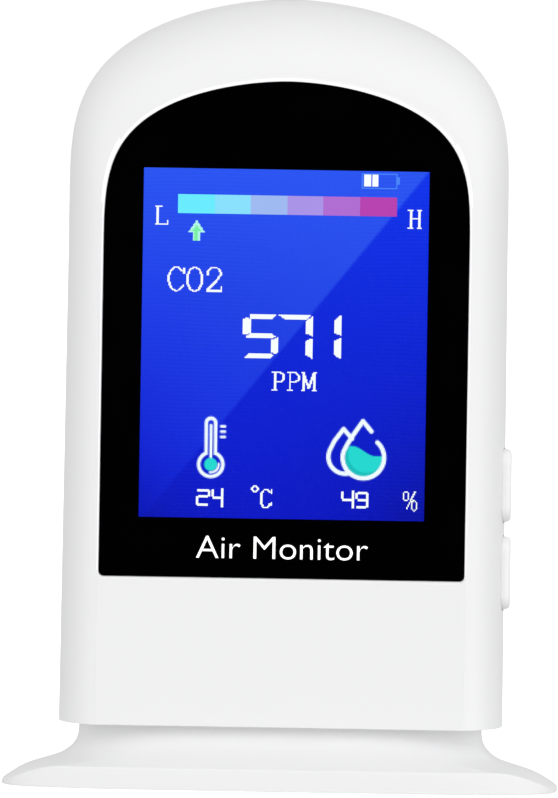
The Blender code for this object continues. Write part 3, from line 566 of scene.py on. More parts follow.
def dress(obj, slot, body="case", stands_for=()):
    obj.data.materials.clear()
    obj.data.materials.append(MATERIALS[slot])
    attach(obj, body)
    if stands_for:
        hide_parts(*stands_for)


# ---------------------------------------------------------------- housings
OUTER, FLAT = body_outline(), flat_outline()
INNER = body_outline(WALL, WALL, INNER_SEGMENTS)
INNER_FLAT = flat_outline(0.0, WALL, INNER_SEGMENTS)
ROLL_STEPS, INNER_ROLL_STEPS = 36, 10
FRONT_ROLL_END = 83.5                    # degrees: leaves a slight crease round the front face
FACE_STEP, FACE_INSET = 0.13, 0.22       # the low step inside that crease
RIM_BEVEL = 0.22                         # bevel round the flat-cut bottom

POST_ROOT = 0.8                          # how far a post runs into the wall behind it
PILOT_RADIUS = 1.1
BOARD_POST_END = -6.95
FOOT_POST_RADIUS = 2.4
FOOT_POST_Z = (BODY_BOTTOM + 0.7, 17.0)
FOOT_PILOT_Z = (BODY_BOTTOM - 1, 16.2)

MOUTH_GROW, MOUTH_DEPTH = 0.30, 0.17     # chamfer round the window's recess
RECESS_GAP = 0.05
RECESS_FLOOR = mask_hi.y + 0.1
PANEL_OPENING_HALF, PANEL_GAP = 24.0, 0.9

BUTTON_FLANGE = 0.8                      # how far a button's hidden flange stands out
BUTTON_GAP = 0.2
BUTTON_CUT_X = (28.6, 36.0)


def seam_chamfer(y, inward):
    """The two rings of the small chamfer along the parting line."""
    return [at_y(body_outline(SEAM_CHAMFER, 0.0), y), at_y(OUTER, y + inward * SEAM_CHAMFER)]


def bevel_bottom(bm, seam_y):
    """Rounds the rim of the flat-cut bottom, but not along the parting line."""
    edges = []
    for edge in bm.edges:
        places = [vert.co for vert in edge.verts]
        at_bottom = all(abs(co.z - BODY_BOTTOM) <= 1e-3 for co in places)
        on_seam = all(abs(co.y - seam_y) < 0.2 for co in places)
        if not at_bottom or on_seam:
            continue
        if len(edge.link_faces) == 2 and edge.calc_face_angle(0) > math.radians(50):
            edges.append(edge)
    bmesh.ops.bevel(bm, geom=edges, offset=RIM_BEVEL, segments=4, profile=0.5, affect="EDGES",
                    clamp_overlap=True)


def hollow_housing(name, rings, seam_y, inner_rings):
    bm = bmesh.new()
    add_loft(bm, rings)
    bmesh.ops.recalc_face_normals(bm, faces=bm.faces)
    bevel_bottom(bm, seam_y)
    shell = to_object(name, bm)
    cut(shell, inner_rings)
    return shell


def button_shape(button):
    """Low and high corners, centre in y and z, and half sizes of the visible cap."""
    lo, hi = box_mm(button)
    centre = ((lo.y + hi.y) / 2, (lo.z + hi.z) / 2)
    return (lo, hi, centre, (hi.z - lo.z) / 2 - BUTTON_FLANGE, (hi.y - lo.y) / 2 - BUTTON_FLANGE)


def give_window_mouth_painted_highlight(front):
    """Gives the chamfer round the window a polished second material with a painted highlight."""
    # the window's chamfer gets the polished material with its painted highlight glow
    front.data.materials.append(MATERIALS["polished_edge"])
    for face in front.data.polygons:
        x, y, z = (value / MM for value in face.center)
        if (FRONT_Y - 0.01 < y < FRONT_Y + MOUTH_DEPTH + 0.01
                and -0.98 < face.normal.y < -0.05
                and abs(x) < LENS_HALF + MOUTH_GROW + 0.01 and z > LENS_BOTTOM + 0.4):
            face.material_index = 1


def front_housing():
    rings = (seam_chamfer(PART_Y, -1)
             + rolled_rings(OUTER, FLAT, BELT_FRONT_Y, FRONT_Y + FACE_STEP, ROLL_STEPS,
                            FRONT_ROLL_END)
             + [at_y(flat_outline(FACE_INSET), FRONT_Y)])
    front = hollow_housing("front_housing", rings, PART_Y, [at_y(INNER, PART_Y + 2)] + rolled_rings(
        INNER, INNER_FLAT, BELT_FRONT_Y, FRONT_WALL_IN, INNER_ROLL_STEPS))

    # screw posts and their pilot holes
    root = FRONT_WALL_IN - POST_ROOT
    join(front, *posts("Y", CASE_SCREWS, 2.6, (root, PART_Y - 0.2)),
         *posts("Y", BOARD_SCREWS, 2.2, (root, BOARD_POST_END)),
         *posts("Z", FRONT_FOOT_SCREWS, FOOT_POST_RADIUS, FOOT_POST_Z))
    cut(front, *posts("Y", CASE_SCREWS, PILOT_RADIUS, (-6.5, PART_Y + 1)),
        *posts("Y", BOARD_SCREWS, PILOT_RADIUS, (-11.2, -5.8)),
        *posts("Z", FRONT_FOOT_SCREWS, PILOT_RADIUS, FOOT_PILOT_Z))

    # the window's recess, then the opening for the display panel behind it
    cut(front, window_rings((FRONT_Y - 1, MOUTH_GROW), (FRONT_Y - 0.0001, MOUTH_GROW),
                            (FRONT_Y + MOUTH_DEPTH, RECESS_GAP), (RECESS_FLOOR, RECESS_GAP)))
    cut(front, box_rings((-PANEL_OPENING_HALF, FRONT_Y - 0.5, lcd_lo.z - PANEL_GAP),
                         (PANEL_OPENING_HALF, FRONT_WALL_IN + 1.5, lcd_hi.z + PANEL_GAP)))

    for button in BUTTONS:
        _, _, centre, half_long, half_short = button_shape(button)
        cut(front, slot_rings("X", centre, half_long, half_short,
                              [(x, BUTTON_GAP) for x in BUTTON_CUT_X], 20, upright=True))
    dress(smooth(front), "white_abs", stands_for=["front_shell"])
    give_window_mouth_painted_highlight(front)


LIP_GAP, LIP_THICKNESS = 0.15, 1.0
LIP_OVERLAP = 0.9                        # how far the lip's root runs into the wall
LIP_STEP_Y = PART_Y + 0.35
CASE_POST_RADIUS = 3.2
SCREW_SHANK, SCREW_HEAD, SCREW_MOUTH = 1.2, 2.15, 2.5    # radii of the stepped holes
SCREW_SEAT_Y = 9.0 - 0.1

VENT_COUNT, VENT_FIRST_Z, VENT_PITCH = 9, 73.0, 2.6
VENT_HALF, VENT_HALF_HEIGHT = 12.0, 0.65
USB_Z = (usb_lo.z + usb_hi.z) / 2
USB_HALF, USB_HALF_HEIGHT = 4.85, 1.95
PAST_FACE = 0.02                         # chamfers end just outside the rear face
# chamfered mouths of the rear openings: y, growth
VENT_PROFILE = [(REAR_WALL_IN - 2, 0), (REAR_Y - 0.22, 0), (REAR_Y + PAST_FACE, 0.22),
                (REAR_Y + 1, 0.22)]
USB_PROFILE = [(REAR_WALL_IN - 2, 0), (REAR_Y - 0.35, 0), (REAR_Y - 0.1, 0.15),
               (REAR_Y + PAST_FACE, 0.42), (REAR_Y + 1, 0.42)]


def lip_rings(*profile):
    """Rings drawn in from the body outline; the rows of the profile are y and inset."""
    return [at_y(body_outline(inset, inset, INNER_SEGMENTS), y) for y, inset in profile]


def rear_lip():
    """The lip that reaches forward inside the front housing."""
    outside, root = WALL + LIP_GAP, WALL - LIP_OVERLAP
    lip = solid("lip", lip_rings((PART_Y - 1.3, outside), (LIP_STEP_Y, outside),
                                 (LIP_STEP_Y, root), (PART_Y + 1.6, root)))
    inside = WALL + LIP_GAP + LIP_THICKNESS
    cut(lip, lip_rings((PART_Y - 3, inside), (PART_Y + 4, inside)))
    return lip


def rear_housing():
    seam_y = PART_Y + SEAM
    rings = seam_chamfer(seam_y, 1) + rolled_rings(
        OUTER, FLAT, seam_y + SEAM_CHAMFER + 0.02, REAR_Y, ROLL_STEPS)
    rear = hollow_housing("rear_housing", rings, seam_y, [at_y(INNER, PART_Y - 2)] + rolled_rings(
        INNER, INNER_FLAT, seam_y, REAR_WALL_IN, INNER_ROLL_STEPS))
    boolean(rear, rear_lip(), "UNION")

    # screw posts, then the stepped case screw holes and the pilot holes for the foot
    join(rear, *posts("Y", CASE_SCREWS, CASE_POST_RADIUS,
                      (PART_Y + 0.3, REAR_WALL_IN + POST_ROOT), segments=32),
         *posts("Z", REAR_FOOT_SCREWS, FOOT_POST_RADIUS, FOOT_POST_Z))
    hole = [(PART_Y - 2, SCREW_SHANK), (SCREW_SEAT_Y, SCREW_SHANK), (SCREW_SEAT_Y, SCREW_HEAD),
            (REAR_Y - 0.3, SCREW_HEAD), (REAR_Y + PAST_FACE, SCREW_MOUTH),
            (REAR_Y + 1, SCREW_MOUTH)]
    cut(rear, *turned("Y", CASE_SCREWS, hole, segments=40),
        *posts("Z", REAR_FOOT_SCREWS, PILOT_RADIUS, FOOT_PILOT_Z))

    vents = [slot_rings("Y", (0.0, VENT_FIRST_Z + VENT_PITCH * i), VENT_HALF, VENT_HALF_HEIGHT,
                        VENT_PROFILE, segments=12) for i in range(VENT_COUNT)]
    cut(rear, *vents, slot_rings("Y", (0.0, USB_Z), USB_HALF, USB_HALF_HEIGHT, USB_PROFILE,
                                 segments=20))
    dress(smooth(rear), "white_abs", stands_for=["rear_shell"])


# ---------------------------------------------------------------- buttons
BUTTONS = ("power_button", "mode_button")
FLANGE_X = (29.4, 30.2)
STEM_END_X, STEM_HALF_Y, STEM_HALF_Z = 29.9, 1.0, 1.5
BUTTON_FILLET = 0.75
FILLET_STEPS = 10


def button_cap(button):
    """A filleted cap on a flange, with a square stem running inwards."""
    lo, hi, centre, half_long, half_short = button_shape(button)
    face = hi.x
    profile = [(x, BUTTON_FLANGE) for x in FLANGE_X] + [(FLANGE_X[1], 0.0)]
    for i in range(FILLET_STEPS + 1):
        t = math.pi / 2 * i / FILLET_STEPS
        profile.append((face - BUTTON_FILLET + BUTTON_FILLET * math.sin(t),
                        -BUTTON_FILLET * (1 - math.cos(t))))
    # rings closing in over the flat face
    for i in range(1, 5):
        profile.append((face, -(BUTTON_FILLET + (half_short - BUTTON_FILLET) * i / 6)))
    cap = solid(f"{button}_cap", slot_rings("X", centre, half_long, half_short, profile,
                                            segments=24, upright=True))
    join(cap, box_rings((lo.x, centre[0] - STEM_HALF_Y, centre[1] - STEM_HALF_Z),
                        (STEM_END_X, centre[0] + STEM_HALF_Y, centre[1] + STEM_HALF_Z)))
    dress(smooth(cap), "white_button", body=button, stands_for=[button])


# ---------------------------------------------------------------- window
LENS_EDGE = 0.08                         # rounding of the lens's front edge
PRINT_GAP = 0.03
LABEL_WIDTH, LABEL_X, LABEL_BASE = 25.9, 0.03, 35.06
LABEL_THINNING = -0.010                  # letter outline offset, in font units
LABEL_HEIGHT_SCALE = 0.94                # letters are a little lower than the font's own
LABEL_FRONT_Y, LABEL_BACK_Y = mask_lo.y - 0.07, mask_lo.y - 0.02


def window():
    lens = solid("window", window_rings(
        (lens_lo.y, -LENS_EDGE), (lens_lo.y + LENS_EDGE * 0.35, -LENS_EDGE * 0.35),
        (lens_lo.y + LENS_EDGE, 0), (lens_hi.y, 0)))
    dress(smooth(lens), "clear_acrylic", stands_for=["display_lens"])


def window_print():
    """The black layer behind the lens, open over the display."""
    mask = solid("window_print", window_rings((mask_lo.y, -PRINT_GAP), (mask_hi.y, -PRINT_GAP)))
    cut(mask, box_rings((VIEW_X - VIEW_HALF, mask_lo.y - 1, VIEW_BOTTOM),
                        (VIEW_X + VIEW_HALF, mask_hi.y + 1, VIEW_TOP)))
    dress(smooth(mask), "black_print", stands_for=["lens_mask"])


def window_label():
    """Raised lettering in front of the black layer, below the display."""
    curve = bpy.data.curves.new("label", "FONT")
    curve.body = "Air Monitor"
    curve.align_x = "CENTER"
    curve.offset = LABEL_THINNING
    text = link_object("label", curve)
    bpy.context.view_layer.update()
    flat_text = bpy.data.meshes.new_from_object(
        text.evaluated_get(bpy.context.evaluated_depsgraph_get()))
    bpy.data.objects.remove(text, do_unlink=True)

    bm = bmesh.new()
    bm.from_mesh(flat_text)
    bmesh.ops.remove_doubles(bm, verts=bm.verts, dist=1e-6)
    places = [vert.co.x for vert in bm.verts]
    left, right = min(places), max(places)
    scale = LABEL_WIDTH / (right - left)
    middle = (right + left) / 2
    for vert in bm.verts:
        vert.co = Vector(((vert.co.x - middle) * scale + LABEL_X, LABEL_FRONT_Y,
                          LABEL_BASE + vert.co.y * scale * LABEL_HEIGHT_SCALE))
    grown = bmesh.ops.extrude_face_region(bm, geom=bm.faces[:])
    for item in grown["geom"]:
        if isinstance(item, bmesh.types.BMVert):
            item.co.y = LABEL_BACK_Y
    label = to_object("window_label", bm)
    label.data.shade_flat()
    dress(label, "white_ink")


# ---------------------------------------------------------------- drawing on the display
# The display is a grid of square-cornered dots. The drawing is laid out in that grid, in
# columns from the left and rows from the top, with colours from 0 to 255. Shapes are signed
# distances, negative inside.
COLUMNS, ROWS = 240, 294
row, column = np.mgrid[0:ROWS, 0:COLUMNS].astype(float) + 0.5
canvas = np.zeros((ROWS, COLUMNS, 3))

WHITE = (247, 253, 253)
PALE = (238, 249, 253)
TEAL = (36, 214, 206)
DARK_TEAL = (24, 190, 186)


def paint(cover, colour):
    share = np.clip(cover, 0, 1)[..., None]
    canvas[:] = canvas * (1 - share) + np.array(colour, float) * share


def fill(distance, colour=WHITE, opacity=1.0):
    """Paints a shape with stepped edges."""
    paint((distance < 0) * opacity, colour)


def fill_soft(distance, colour=PALE):
    """Paints a shape with edges one dot soft."""
    paint(0.5 - distance, colour)


def union(*shapes):
    return np.minimum.reduce(shapes)


def stroke(x0, y0, x1, y1, width):
    """A straight round-ended stroke."""
    dx, dy = x1 - x0, y1 - y0
    t = (((column - x0) * dx + (row - y0) * dy) / (dx * dx + dy * dy)).clip(0, 1)
    return np.hypot(column - x0 - t * dx, row - y0 - t * dy) - width / 2


def strokes(points, width):
    return union(*[stroke(*start, *end, width) for start, end in zip(points, points[1:])])


def rect(x0, y0, x1, y1):
    return np.maximum(np.maximum(x0 - column, column - x1), np.maximum(y0 - row, row - y1))


def rects(*cells):
    return union(*[rect(*cell) for cell in cells])


def polygon(*points):
    """A convex polygon given clockwise on the display."""
    return np.maximum.reduce([
        ((column - x0) * (y1 - y0) - (row - y0) * (x1 - x0)) / math.hypot(x1 - x0, y1 - y0)
        for (x0, y0), (x1, y1) in zip(points, points[1:] + points[:1])])


def ellipse(x, y, radius_x, radius_y):
    return ((np.hypot((column - x) / radius_x, (row - y) / radius_y) - 1)
            * min(radius_x, radius_y))


def oval(x, y, radius_x, radius_y, side, top):
    """An oval letter stroke, heavier at the sides than at the top and bottom."""
    return np.maximum(ellipse(x, y, radius_x, radius_y),
                      -ellipse(x, y, radius_x - side, radius_y - top))


def arc(x, y, radius, width, start, sweep):
    """A round-ended arc; angles in degrees, clockwise on the display from the right."""
    angle = np.degrees(np.arctan2(row - y, column - x))
    inside = ((angle - start) % 360) <= sweep
    ring = np.abs(np.hypot(column - x, row - y) - radius)
    ends = [np.hypot(column - x - radius * math.cos(t), row - y - radius * math.sin(t))
            for t in (math.radians(start), math.radians(start + sweep))]
    return np.where(inside, ring, np.minimum(*ends)) - width / 2


def serif_stem(x, top, bottom, left, right):
    """An upright with serifs that reach left and right of its middle."""
    half_width, serif = 1.9 / 2, 1.05
    return rects((x - half_width, top, x + half_width, bottom),
                 (x - left, top, x + right, top + serif),
                 (x - left, bottom - serif, x + right, bottom))


def letter_c(x, y, radius_x, radius_y, serif):
    """An oval opened at the right, with a wide upper serif and a small lower one."""
    open_left, open_right = x + radius_x * 0.45, x + radius_x + 3
    open_top, open_bottom = y - radius_y * 0.62, y + radius_y * 0.52
    opening = polygon((open_left, open_top), (open_right, open_top),
                      (open_right, open_bottom), (open_left, open_bottom))
    upper, lower = x + radius_x * 0.74, x + radius_x * 0.72
    return union(
        np.maximum(oval(x, y, radius_x, radius_y, side=2.0, top=1.15), -opening),
        rect(upper, y - radius_y * 0.94, upper + serif, y - radius_y * 0.46),
        rect(lower, y + radius_y * 0.40, lower + 1.2, y + radius_y * 0.66))


# ---------------------------------------------------------------- what the display shows
# upper field: colour at the top, its change down to mid height, and the extra to the right
UPPER_FIELD = ((42.0, 84.0, 239.0), (-16.0, -29.0, -14.0), (9.0, 17.0, 3.0))
# lower field: colours at the top and bottom, and the change across it at the bottom
LOWER_FIELD = ((15.0, 52.0, 234.0), (9.0, 23.0, 194.0), (-3.0, -5.0, -16.0))
# the diagonal where the fields meet: a point on it, the vector across it and its length
MEET_X, MEET_Y = 238.5, 1.3
ACROSS_X, ACROSS_Y, ACROSS_LENGTH = 285.1, 228.3, 365.2
MEET_SOFTNESS = 2.5
CORNER_LOSS = 0.16
RIPPLE_COLOUR = (1.5, 3.0, 4.0)

BAR_COLOURS = [(105, 234, 253), (136, 222, 250), (157, 184, 238), (168, 146, 229),
               (174, 108, 208), (181, 66, 174)]
BAR_LEFT, BAR_PITCH, BAR_OVERLAP, BAR_TOP, BAR_BOTTOM = 30.0, 30.5, 0.6, 21.9, 38.4
BATTERY_BLUE = (96, 170, 252)

# left, top, right, bottom, width of the uprights, lit segments
BIG_DIGITS = [(85.6, 121.8, 115.0, 158.9, 5.9, "afgcd"),
              (115.2, 122.0, 144.0, 159.2, 6.3, "abc"),
              (139.0, 120.6, 168.5, 159.3, 6.2, "bc")]

# strokes of the small digits 2 4 and 4 9: left, top, right, bottom
SMALL_READINGS = [
    (49.4, 269.8, 58.6, 271.9), (57.6, 270.7, 59.7, 275.6), (49.6, 275.4, 58.3, 277.5),
    (47.8, 276.4, 50.2, 283.3), (49.4, 282.4, 58.3, 284.5),
    (60.6, 270.2, 62.7, 276.1), (61.6, 275.9, 68.9, 278.0), (68.7, 269.4, 70.9, 284.6),
    (169.6, 270.2, 171.9, 275.7), (170.6, 275.9, 179.2, 278.3), (179.1, 269.3, 181.3, 284.3),
    (183.6, 269.9, 191.9, 272.1), (182.3, 271.2, 184.5, 275.7), (184.2, 276.2, 190.8, 278.4),
    (190.7, 271.2, 193.0, 283.3), (183.1, 282.3, 191.3, 284.5)]


def draw_backdrop():
    """Two blue fields that meet on a soft diagonal, darker in the bottom corners."""
    across, down = column / COLUMNS, row / (ROWS / 2)
    start, change_down, change_both = (np.array(colour) for colour in UPPER_FIELD)
    upper = start + down[..., None] * change_down + (across * down)[..., None] * change_both
    fall = (row / ROWS)[..., None]
    top, bottom, sideways = (np.array(colour) for colour in LOWER_FIELD)
    lower = top * (1 - fall) + bottom * fall + (across - 0.5)[..., None] * fall * sideways
    past_meet = ((column - MEET_X) * ACROSS_X / ACROSS_LENGTH
                 + (row - MEET_Y) * ACROSS_Y / ACROSS_LENGTH)
    share = np.clip(past_meet / MEET_SOFTNESS + 0.5, 0, 1)[..., None]
    corner = (np.abs(across * 2 - 1) ** 2.5 * (row / ROWS) ** 5)[..., None]
    ripple = (np.sin(row * 1.9 + 2.2 * np.sin(column / 37.0 + row / 60.0))
              * np.sin(column / 55.0 + 0.6) ** 2)
    canvas[:] = ((upper * (1 - share) + lower * share) * (1 - CORNER_LOSS * corner)
                 + ripple[..., None] * np.array(RIPPLE_COLOUR))


def draw_scale_bar():
    """The coloured bar, the arrow under it, and the L and H at its ends."""
    for i, colour in enumerate(BAR_COLOURS):
        left = BAR_LEFT + BAR_PITCH * i
        fill(rect(left - BAR_OVERLAP, BAR_TOP, left + BAR_PITCH, BAR_BOTTOM), colour)
    fill(union(polygon((45, 43.6), (52.0, 54.0), (38.0, 54.0)), rect(41.5, 53.6, 48.2, 61.0)),
         (178, 243, 232))
    fill(union(polygon((45, 47.6), (49.2, 53.4), (40.8, 53.4)), rect(43.0, 53, 46.4, 61.0)),
         (120, 238, 165))
    # L
    fill(rects((11.4, 32.2, 13.3, 48.2), (9.6, 32.2, 15.6, 33.3),
               (9.6, 47.2, 21.0, 48.3), (19.9, 43.6, 20.9, 48.3)))
    # H
    fill(union(serif_stem(225.2, 32.2, 47.9, left=2.8, right=2.2),
               serif_stem(232.0, 32.2, 47.9, left=2.2, right=2.4),
               rect(225, 39.4, 232, 40.5)))


def draw_battery():
    """A faint outline and terminal, with two white bars inside."""
    fill(np.maximum(rect(183, 2, 213, 15), -rect(184, 3, 212, 14)), BATTERY_BLUE, opacity=0.55)
    fill(rect(213, 5, 215, 11), BATTERY_BLUE, opacity=0.6)
    fill(rects((185.4, 3.0, 191, 13.4), (192, 3.0, 197.4, 13.4)))


def draw_co2():
    fill(letter_c(28.6, 93.4, 7.4, 10.4, serif=1.6))
    fill(oval(44.0, 93.4, 7.3, 10.4, side=2.0, top=1.15))
    # the 2: the upper part of an oval, a slanting stroke and a foot
    fill(np.maximum(oval(60.4, 88.6, 6.4, 5.8, side=1.9, top=1.15), row - 89.6))
    fill(strokes([(65.6, 89.4), (62.6, 94.2), (55.2, 101.6)], 1.7))
    fill(rects((54.0, 88.0, 56.2, 90.4), (54.0, 101.9, 67.2, 103.9), (66.2, 98.6, 67.4, 103.9)))


def draw_ppm():
    top, bottom, serif = 170.4, 185.8, 1.1
    for x in (112.9, 125.5):
        fill(serif_stem(x, top, bottom, left=2.6, right=2.6))
        fill(np.maximum(oval(x + 2.6, 174.7, 6.0, 4.6, side=2.0, top=1.1), x - column))
    # the M: two slanting strokes between uprights
    for x in (136.9, 145.6):
        fill(stroke(x, 170.9, 141.2, 183.5, 1.9))
    # middle of the upright, foot serif to its left and right, head serif to its left and right
    for x, foot_left, foot_right, head_left, head_right in ((136.7, 1.9, 1.6, 1.9, 0.5),
                                                            (145.8, 1.6, 1.9, 0.5, 1.9)):
        fill(rects((x - 0.7, 170.5, x + 1.0, bottom),
                   (x - foot_left, bottom - serif, x + foot_right, bottom),
                   (x - head_left, top, x + head_right, top + serif)))


def draw_digit(left, top, right, bottom, upright, lit):
    """A bevelled seven-segment digit. The top bar runs out to a point unless the left upright
    beside it is lit, and the lower right upright stops short of a lit foot bar."""
    bar, inset = 4.3, 1.2                # height of the bars, gap where uprights meet them
    half, middle = bar / 2, (top + bottom) / 2
    inner_left, inner_right = left + upright, right - upright
    bar_left = left + upright * 0.86 if "f" in lit else left - 0.6
    if "d" in lit:
        tail = [(right, bottom - bar * 1.2), (right - upright * 0.42, bottom - bar * 0.8),
                (inner_right, bottom - bar * 1.3)]
    else:
        tail = [(right, bottom - 0.2), (inner_right, bottom - bar * 0.95)]
    shapes = {
        "a": [(bar_left, top), (right - 0.9, top), (inner_right, top + bar),
              (left + upright * 0.95, top + bar)],
        "b": [(right, top + (1.0 if "a" in lit else 0.1)), (right, middle - 0.7),
              (inner_right, middle - half * 1.5), (inner_right, top + bar * 1.2)],
        "c": [(right, middle + 0.7)] + tail + [(inner_right, middle + half * 1.5)],
        "d": [(left + upright * 0.85, bottom - bar), (right - upright * 1.05, bottom - bar),
              (right - upright * 0.68, bottom - bar * 0.5), (right - upright * 1.15, bottom),
              (left + 0.6, bottom)],
        "f": [(left - 0.4, top + bar * 0.7 + inset),
              (left + upright * 0.5, top + bar * 0.5 + inset * 0.8),
              (inner_left + 0.4, top + bar * 1.1), (inner_left + 0.4, middle - half * 1.25),
              (left + upright * 0.35, middle - inset),
              (left - 0.4, middle - half * 0.5 - inset * 0.6)],
        "g": [(left + upright * 0.35, middle + half * 0.3), (inner_left, middle - half),
              (inner_right, middle - half), (right - upright * 0.35, middle),
              (inner_right, middle + half), (left + upright * 0.6, middle + half)],
    }
    for segment in lit:
        fill(polygon(*shapes[segment]))


def draw_small_readings():
    """The two small readings, with degree C after one and per cent after the other."""
    fill(rects(*SMALL_READINGS))
    fill(oval(97.5, 269.0, 3.4, 2.9, side=1.6, top=1.2))
    fill(letter_c(106.8, 277.1, 5.2, 8.4, serif=1.4))
    fill(oval(224.6, 273.0, 2.7, 4.5, side=1.1, top=1.0))
    fill(oval(231.4, 280.9, 2.8, 4.7, side=1.1, top=1.0))
    fill(stroke(232.0, 269.8, 225.0, 284.0, 1.25))


def draw_thermometer():
    tube = union(stroke(59.7, 214.0, 59.9, 245.4, 10.8), ellipse(60.0, 249.0, 11.7, 11.7))
    bore = union(stroke(59.7, 214.2, 59.9, 245.4, 4.9), ellipse(60.0, 249.0, 8.6, 8.6))
    fill_soft(np.maximum(tube, -bore))
    fill_soft(stroke(59.7, 216.2, 59.9, 243.4, 2.4))
    fill_soft(ellipse(59.9, 249.0, 5.5, 5.5), TEAL)
    fill_soft(arc(60.0, 249.0, 6.7, 2.0, start=-5, sweep=100))
    for y in (216.8, 221.3, 225.7):
        fill_soft(stroke(68.4, y, 71.4, y, 2.3))


def draw_drops():
    """A small open drop beside a large one that is part filled, under a wavy surface."""
    fill_soft(union(strokes([(178.4, 225.4), (171.2, 217.3), (163.6, 227.6), (160.0, 235.0)], 3.7),
                    arc(172.9, 240.9, 14.1, 3.7, start=68, sweep=136)))
    t = np.clip((column - 179) / 19.0, 0, 1)
    surface = 231.6 + 8.2 * t ** 2 * (3 - 2 * t)
    water = np.maximum(ellipse(188.4, 241.3, 15.6, 15.6), surface - row)
    fill_soft(water, TEAL)
    fill_soft(np.maximum(water, -ellipse(190.6, 238.6, 15.2, 15.2)), DARK_TEAL)
    fill_soft(union(strokes([(194.6, 219.0), (187.4, 210.5), (179.8, 221.6), (174.7, 229.8),
                             (171.9, 235.4)], 3.8),
                    arc(188.2, 241.2, 17.4, 3.8, start=-48, sweep=247)))


def draw_picture():
    draw_backdrop()
    draw_scale_bar()
    draw_battery()
    draw_co2()
    draw_ppm()
    for digit in BIG_DIGITS:
        draw_digit(*digit)
    draw_small_readings()
    draw_thermometer()
    draw_drops()


# ---------------------------------------------------------------- display panel
LENS_PASS = 0.93                         # the picture is brightened for what the lens takes


def display_picture():
    """A slab with one front face per display dot inside a dark margin."""
    columns = VIEW_X - VIEW_HALF + 2 * VIEW_HALF / COLUMNS * np.arange(COLUMNS + 1)
    rows = VIEW_TOP - (VIEW_TOP - VIEW_BOTTOM) / ROWS * np.arange(ROWS + 1)
    x_lines = np.concatenate([[lcd_lo.x], columns, [lcd_hi.x]])
    z_lines = np.concatenate([[lcd_hi.z], rows, [lcd_lo.z]])
    nx, nz = len(x_lines), len(z_lines)
    x, z = np.meshgrid(x_lines, z_lines)
    front = np.stack([x, np.full_like(x, lcd_lo.y), z], -1).reshape(-1, 3)

    # the grid's border, walked once round, is repeated at the back of the slab
    border = ([(0, i) for i in range(nx)] + [(j, nx - 1) for j in range(1, nz)]
              + [(nz - 1, i) for i in range(nx - 2, -1, -1)]
              + [(j, 0) for j in range(nz - 2, 0, -1)])
    border = [j * nx + i for j, i in border]
    back = front[border].copy()
    back[:, 1] = lcd_hi.y

    j, i = np.mgrid[0:nz - 1, 0:nx - 1]
    corner = j * nx + i
    faces = np.stack([corner, corner + nx, corner + nx + 1, corner + 1], -1).reshape(-1, 4).tolist()
    base, count = len(front), len(border)
    for a in range(count):
        b = (a + 1) % count
        faces.append([border[a], border[b], base + b, base + a])
    faces.append([base + a for a in range(count)])
    mesh = bpy.data.meshes.new("display_picture")
    mesh.from_pydata((np.concatenate([front, back]) * MM).tolist(), [], faces)
    mesh.update()

    # screen colours become linear light; everything outside the picture is black
    linear = canvas.clip(0, 255) / 255.0
    linear = np.where(linear <= 0.04045, linear / 12.92, ((linear + 0.055) / 1.055) ** 2.4)
    colours = np.zeros((nz - 1, nx - 1, 4), np.float32)
    colours[..., 3] = 1
    colours[1:ROWS + 1, 1:COLUMNS + 1, :3] = linear / LENS_PASS
    per_corner = np.repeat(colours.reshape(-1, 4), 4, axis=0)
    rest = np.zeros((len(mesh.loops) - len(per_corner), 4), np.float32)
    rest[:, 3] = 1
    attribute = mesh.color_attributes.new("picture", "FLOAT_COLOR", "CORNER")
    attribute.data.foreach_set("color", np.concatenate([per_corner, rest]).ravel())
    dress(link_object("display_picture", mesh), "screen_glass", stands_for=["lcd_panel"])


# ---------------------------------------------------------------- foot
FOOT_BASE, FOOT_TOP = foot_lo.z, foot_hi.z
RIM_HALF_X, RIM_HALF_Y = foot_hi.x, foot_hi.y
NECK_HALF_X, NECK_HALF_Y = 30.4, 12.35
# half width, height above the base at the side tips, height along the front and back
FOOT_RINGS = [
    (41.9, 0.0, 0.0), (42.0, 0.04, 0.05), (RIM_HALF_X, 0.13, 0.2), (42.04, 0.25, 1.6),
    (42.02, 0.34, 2.85), (41.99, 0.38, 3.08), (41.93, 0.42, 3.19), (41.8, 0.5, 3.27),
    (41.5, 0.7, 3.36), (40.8, 1.2, 3.53), (39.95, 1.8, 3.77), (38.75, 2.4, 4.12),
    (37.2, 2.96, 4.62), (35.4, 3.53, 5.27), (33.65, 4.17, 6.02), (32.4, 4.9, 6.72),
    (31.6, 5.6, 7.35), (30.9, 6.55, 8.1), (30.55, 7.75, 8.75),
    (NECK_HALF_X, FOOT_TOP - FOOT_BASE, FOOT_TOP - FOOT_BASE),
]
TIP_EASE = 1.5                           # how quickly a ring rises away from its side tips
# the hollow underneath: z, half width, half depth
CAVITY = [(-0.6, 36.3, 15.9), (2.25, 36.3, 15.9), (2.25, 34.0, 15.0), (3.0, 32.8, 14.8),
          (3.6, 31.8, 14.4), (4.6, 30.4, 13.3), (5.6, 29.4, 12.4), (7.5, 28.6, 11.5)]
PLATE_POWER = 4.6                        # squareness of the cover plate and its seat
CAVITY_POWER, SEAT_Z = 3.8, 2.3          # squareness of the hollow above the seat
PLATE_POST_RADIUS, PLATE_POST_TOP = 2.63, 8.3
PLATE_TOP, PLATE_BEVEL = 2.1, 0.25
SCREW_CLEARANCE = 1.3
# holes in the cover plate's screw posts: z, radius
PLATE_HOLE = [(0.0, 2.45), (1.0, 2.45), (1.2, 2.2), (2.6, 2.2), (2.6, SCREW_CLEARANCE),
              (5.0, SCREW_CLEARANCE)]
PAD_ROUND, PAD_ROUND_STEPS, PAD_DISH = 0.22, 6, 0.12


